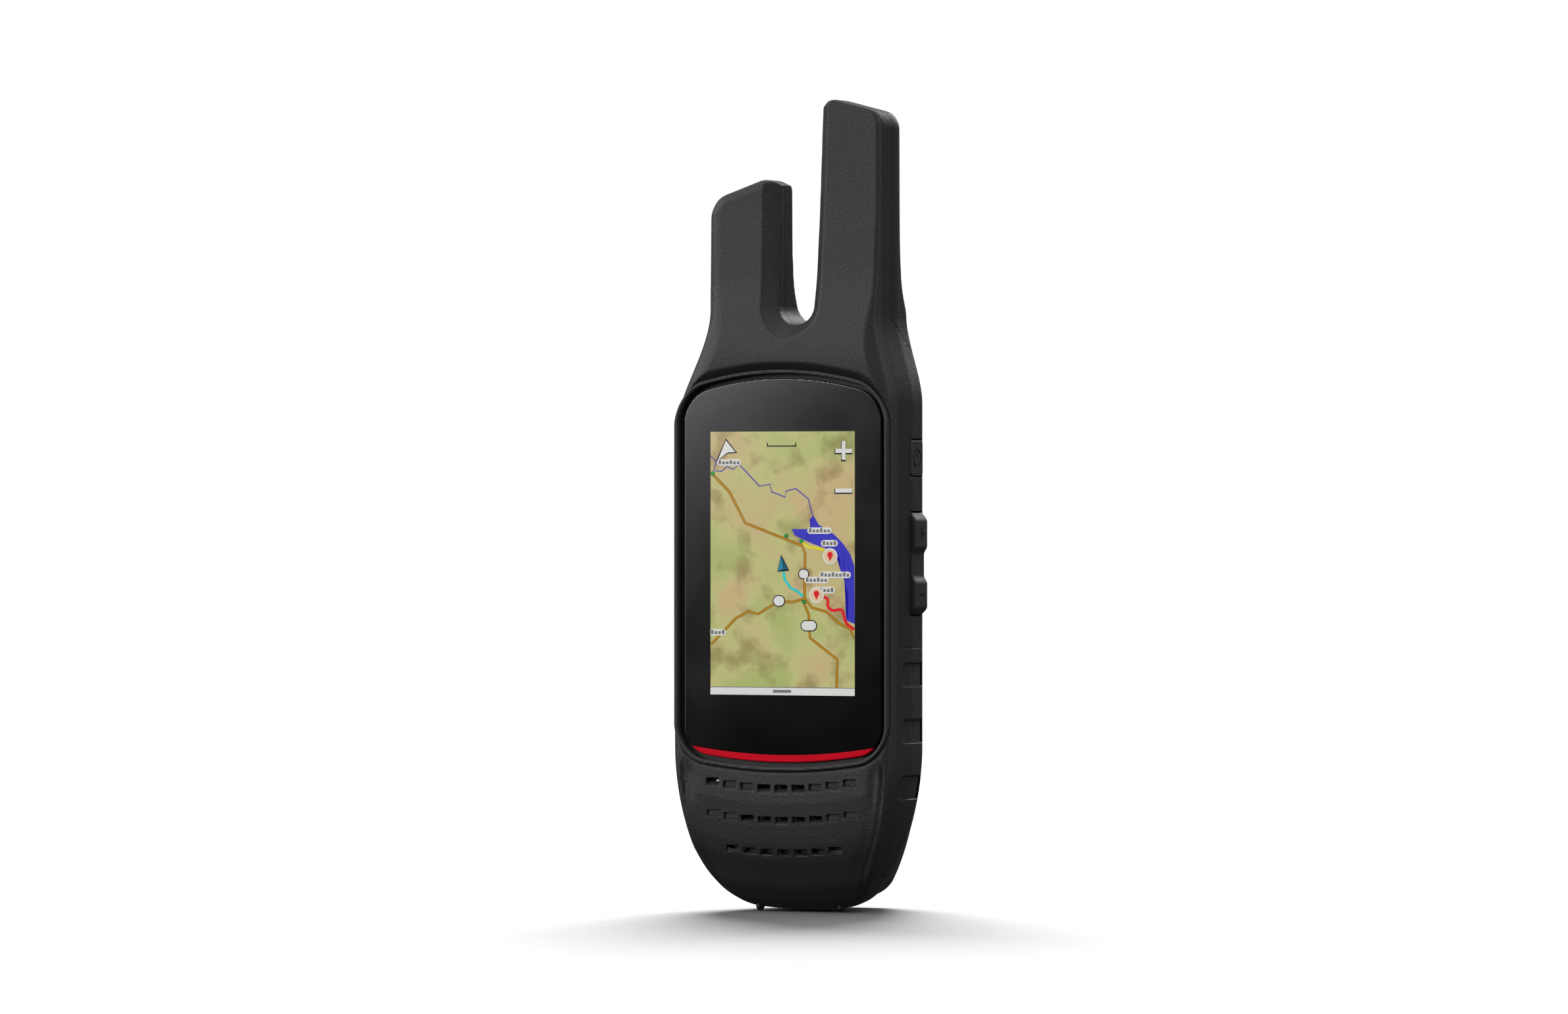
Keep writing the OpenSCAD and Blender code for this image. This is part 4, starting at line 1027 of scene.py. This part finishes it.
def world():
    """White for the camera; a dim wrap-round fill, brighter overhead, for everything else."""
    sky = bpy.data.worlds.new("studio")
    bpy.context.scene.world = sky
    sky.use_nodes = True
    nodes, wire = sky.node_tree.nodes, sky.node_tree.links
    output = nodes["World Output"]
    white = nodes["Background"]
    white.inputs["Color"].default_value = (1, 1, 1, 1)
    white.inputs["Strength"].default_value = 1.03
    fill = nodes.new("ShaderNodeBackground")
    height = nodes.new("ShaderNodeSeparateXYZ")
    where = nodes.new("ShaderNodeTexCoord")
    ramp = nodes.new("ShaderNodeMapRange")
    ramp.inputs["From Min"].default_value = 0.05
    ramp.inputs["To Min"].default_value = 0.05
    ramp.inputs["To Max"].default_value = 1.2
    wire.new(where.outputs["Generated"], height.inputs[0])
    wire.new(height.outputs["Z"], ramp.inputs["Value"])
    wire.new(ramp.outputs["Result"], fill.inputs["Strength"])
    ray = nodes.new("ShaderNodeLightPath")
    pick = nodes.new("ShaderNodeMixShader")
    wire.new(ray.outputs["Is Camera Ray"], pick.inputs["Fac"])
    wire.new(fill.outputs[0], pick.inputs[1])
    wire.new(white.outputs[0], pick.inputs[2])
    wire.new(pick.outputs[0], output.inputs["Surface"])


def sun(name, towards, energy, spread):
    """A broad far light; towards is where it stands, seen from the object."""
    data = bpy.data.lights.new(name, "SUN")
    data.energy = energy
    data.angle = math.radians(spread)
    light = bpy.data.objects.new(name, data)
    bpy.context.scene.collection.objects.link(light)
    light.location = towards
    look_at(light, (0, 0, 0))
    return light


def softbox(name, place, target, width, height, power, roll=0.0):
    data = bpy.data.lights.new(name, "AREA")
    data.shape = "RECTANGLE"
    data.size, data.size_y = width, height
    data.energy = power
    light = bpy.data.objects.new(name, data)
    bpy.context.scene.collection.objects.link(light)
    light.location = place
    look_at(light, target)
    light.rotation_euler.rotate_axis("Z", math.radians(roll))


def floor():
    """Paper with a sun of its own, which stands behind and throws the soft shadow forwards."""
    work = bmesh.new()
    bmesh.ops.create_grid(work, x_segments=1, y_segments=1, size=6)
    mesh = bpy.data.meshes.new("paper")
    work.to_mesh(mesh)
    work.free()
    paper = bpy.data.objects.new("paper", mesh)
    bpy.context.scene.collection.objects.link(paper)
    material = bpy.data.materials.new("paper")
    material.use_nodes = True
    nodes, wire, shader = links(material)
    shader.inputs["Roughness"].default_value = 0.9
    shader.inputs["Specular IOR Level"].default_value = 0.0
    tooth = nodes.new("ShaderNodeTexNoise")
    tooth.inputs["Scale"].default_value = 900.0
    tint = nodes.new("ShaderNodeValToRGB")
    tint.color_ramp.elements[0].color = (0.195, 0.195, 0.195, 1)
    tint.color_ramp.elements[1].color = (0.205, 0.205, 0.205, 1)
    wire.new(tooth.outputs["Fac"], tint.inputs["Fac"])
    wire.new(tint.outputs["Color"], shader.inputs["Base Color"])
    mesh.materials.append(material)
    paper.visible_diffuse = False
    paper.visible_glossy = False
    lit = bpy.data.collections.new("lit_by_floor_sun")
    lit.objects.link(paper)
    light = sun("floor_sun", (-0.28, 0.62, 0.8), 17.2, 36)
    light.light_linking.receiver_collection = lit


def studio():
    world()
    floor()
    sun("overhead", (-0.1, 0.35, 1.0), 0.7, 50)
    softbox("front_left", (-1.5, -2.0, 1.5), (0, 0, 0.12), 1.2, 1.0, 5)
    softbox("left", (-2.2, -0.5, 0.9), (0, 0, 0.14), 0.8, 1.2, 18)
    softbox("right", (2.5, -0.6, 1.0), (0, 0, 0.1), 0.8, 1.2, 14)
    softbox("back", (0.3, 2.5, 1.3), (0, 0, 0.1), 1.2, 1.0, 19)
    # mirrored in the glass: its tilted edge ends the sheen down the screen and to the right
    softbox("sheen", (-1.336, -2.153, 0.571), (-0.306, 0.127, 0.571), 1.3, 1.0, 18, roll=38)
    bpy.context.scene.view_settings.view_transform = "Standard"


camera()
studio()
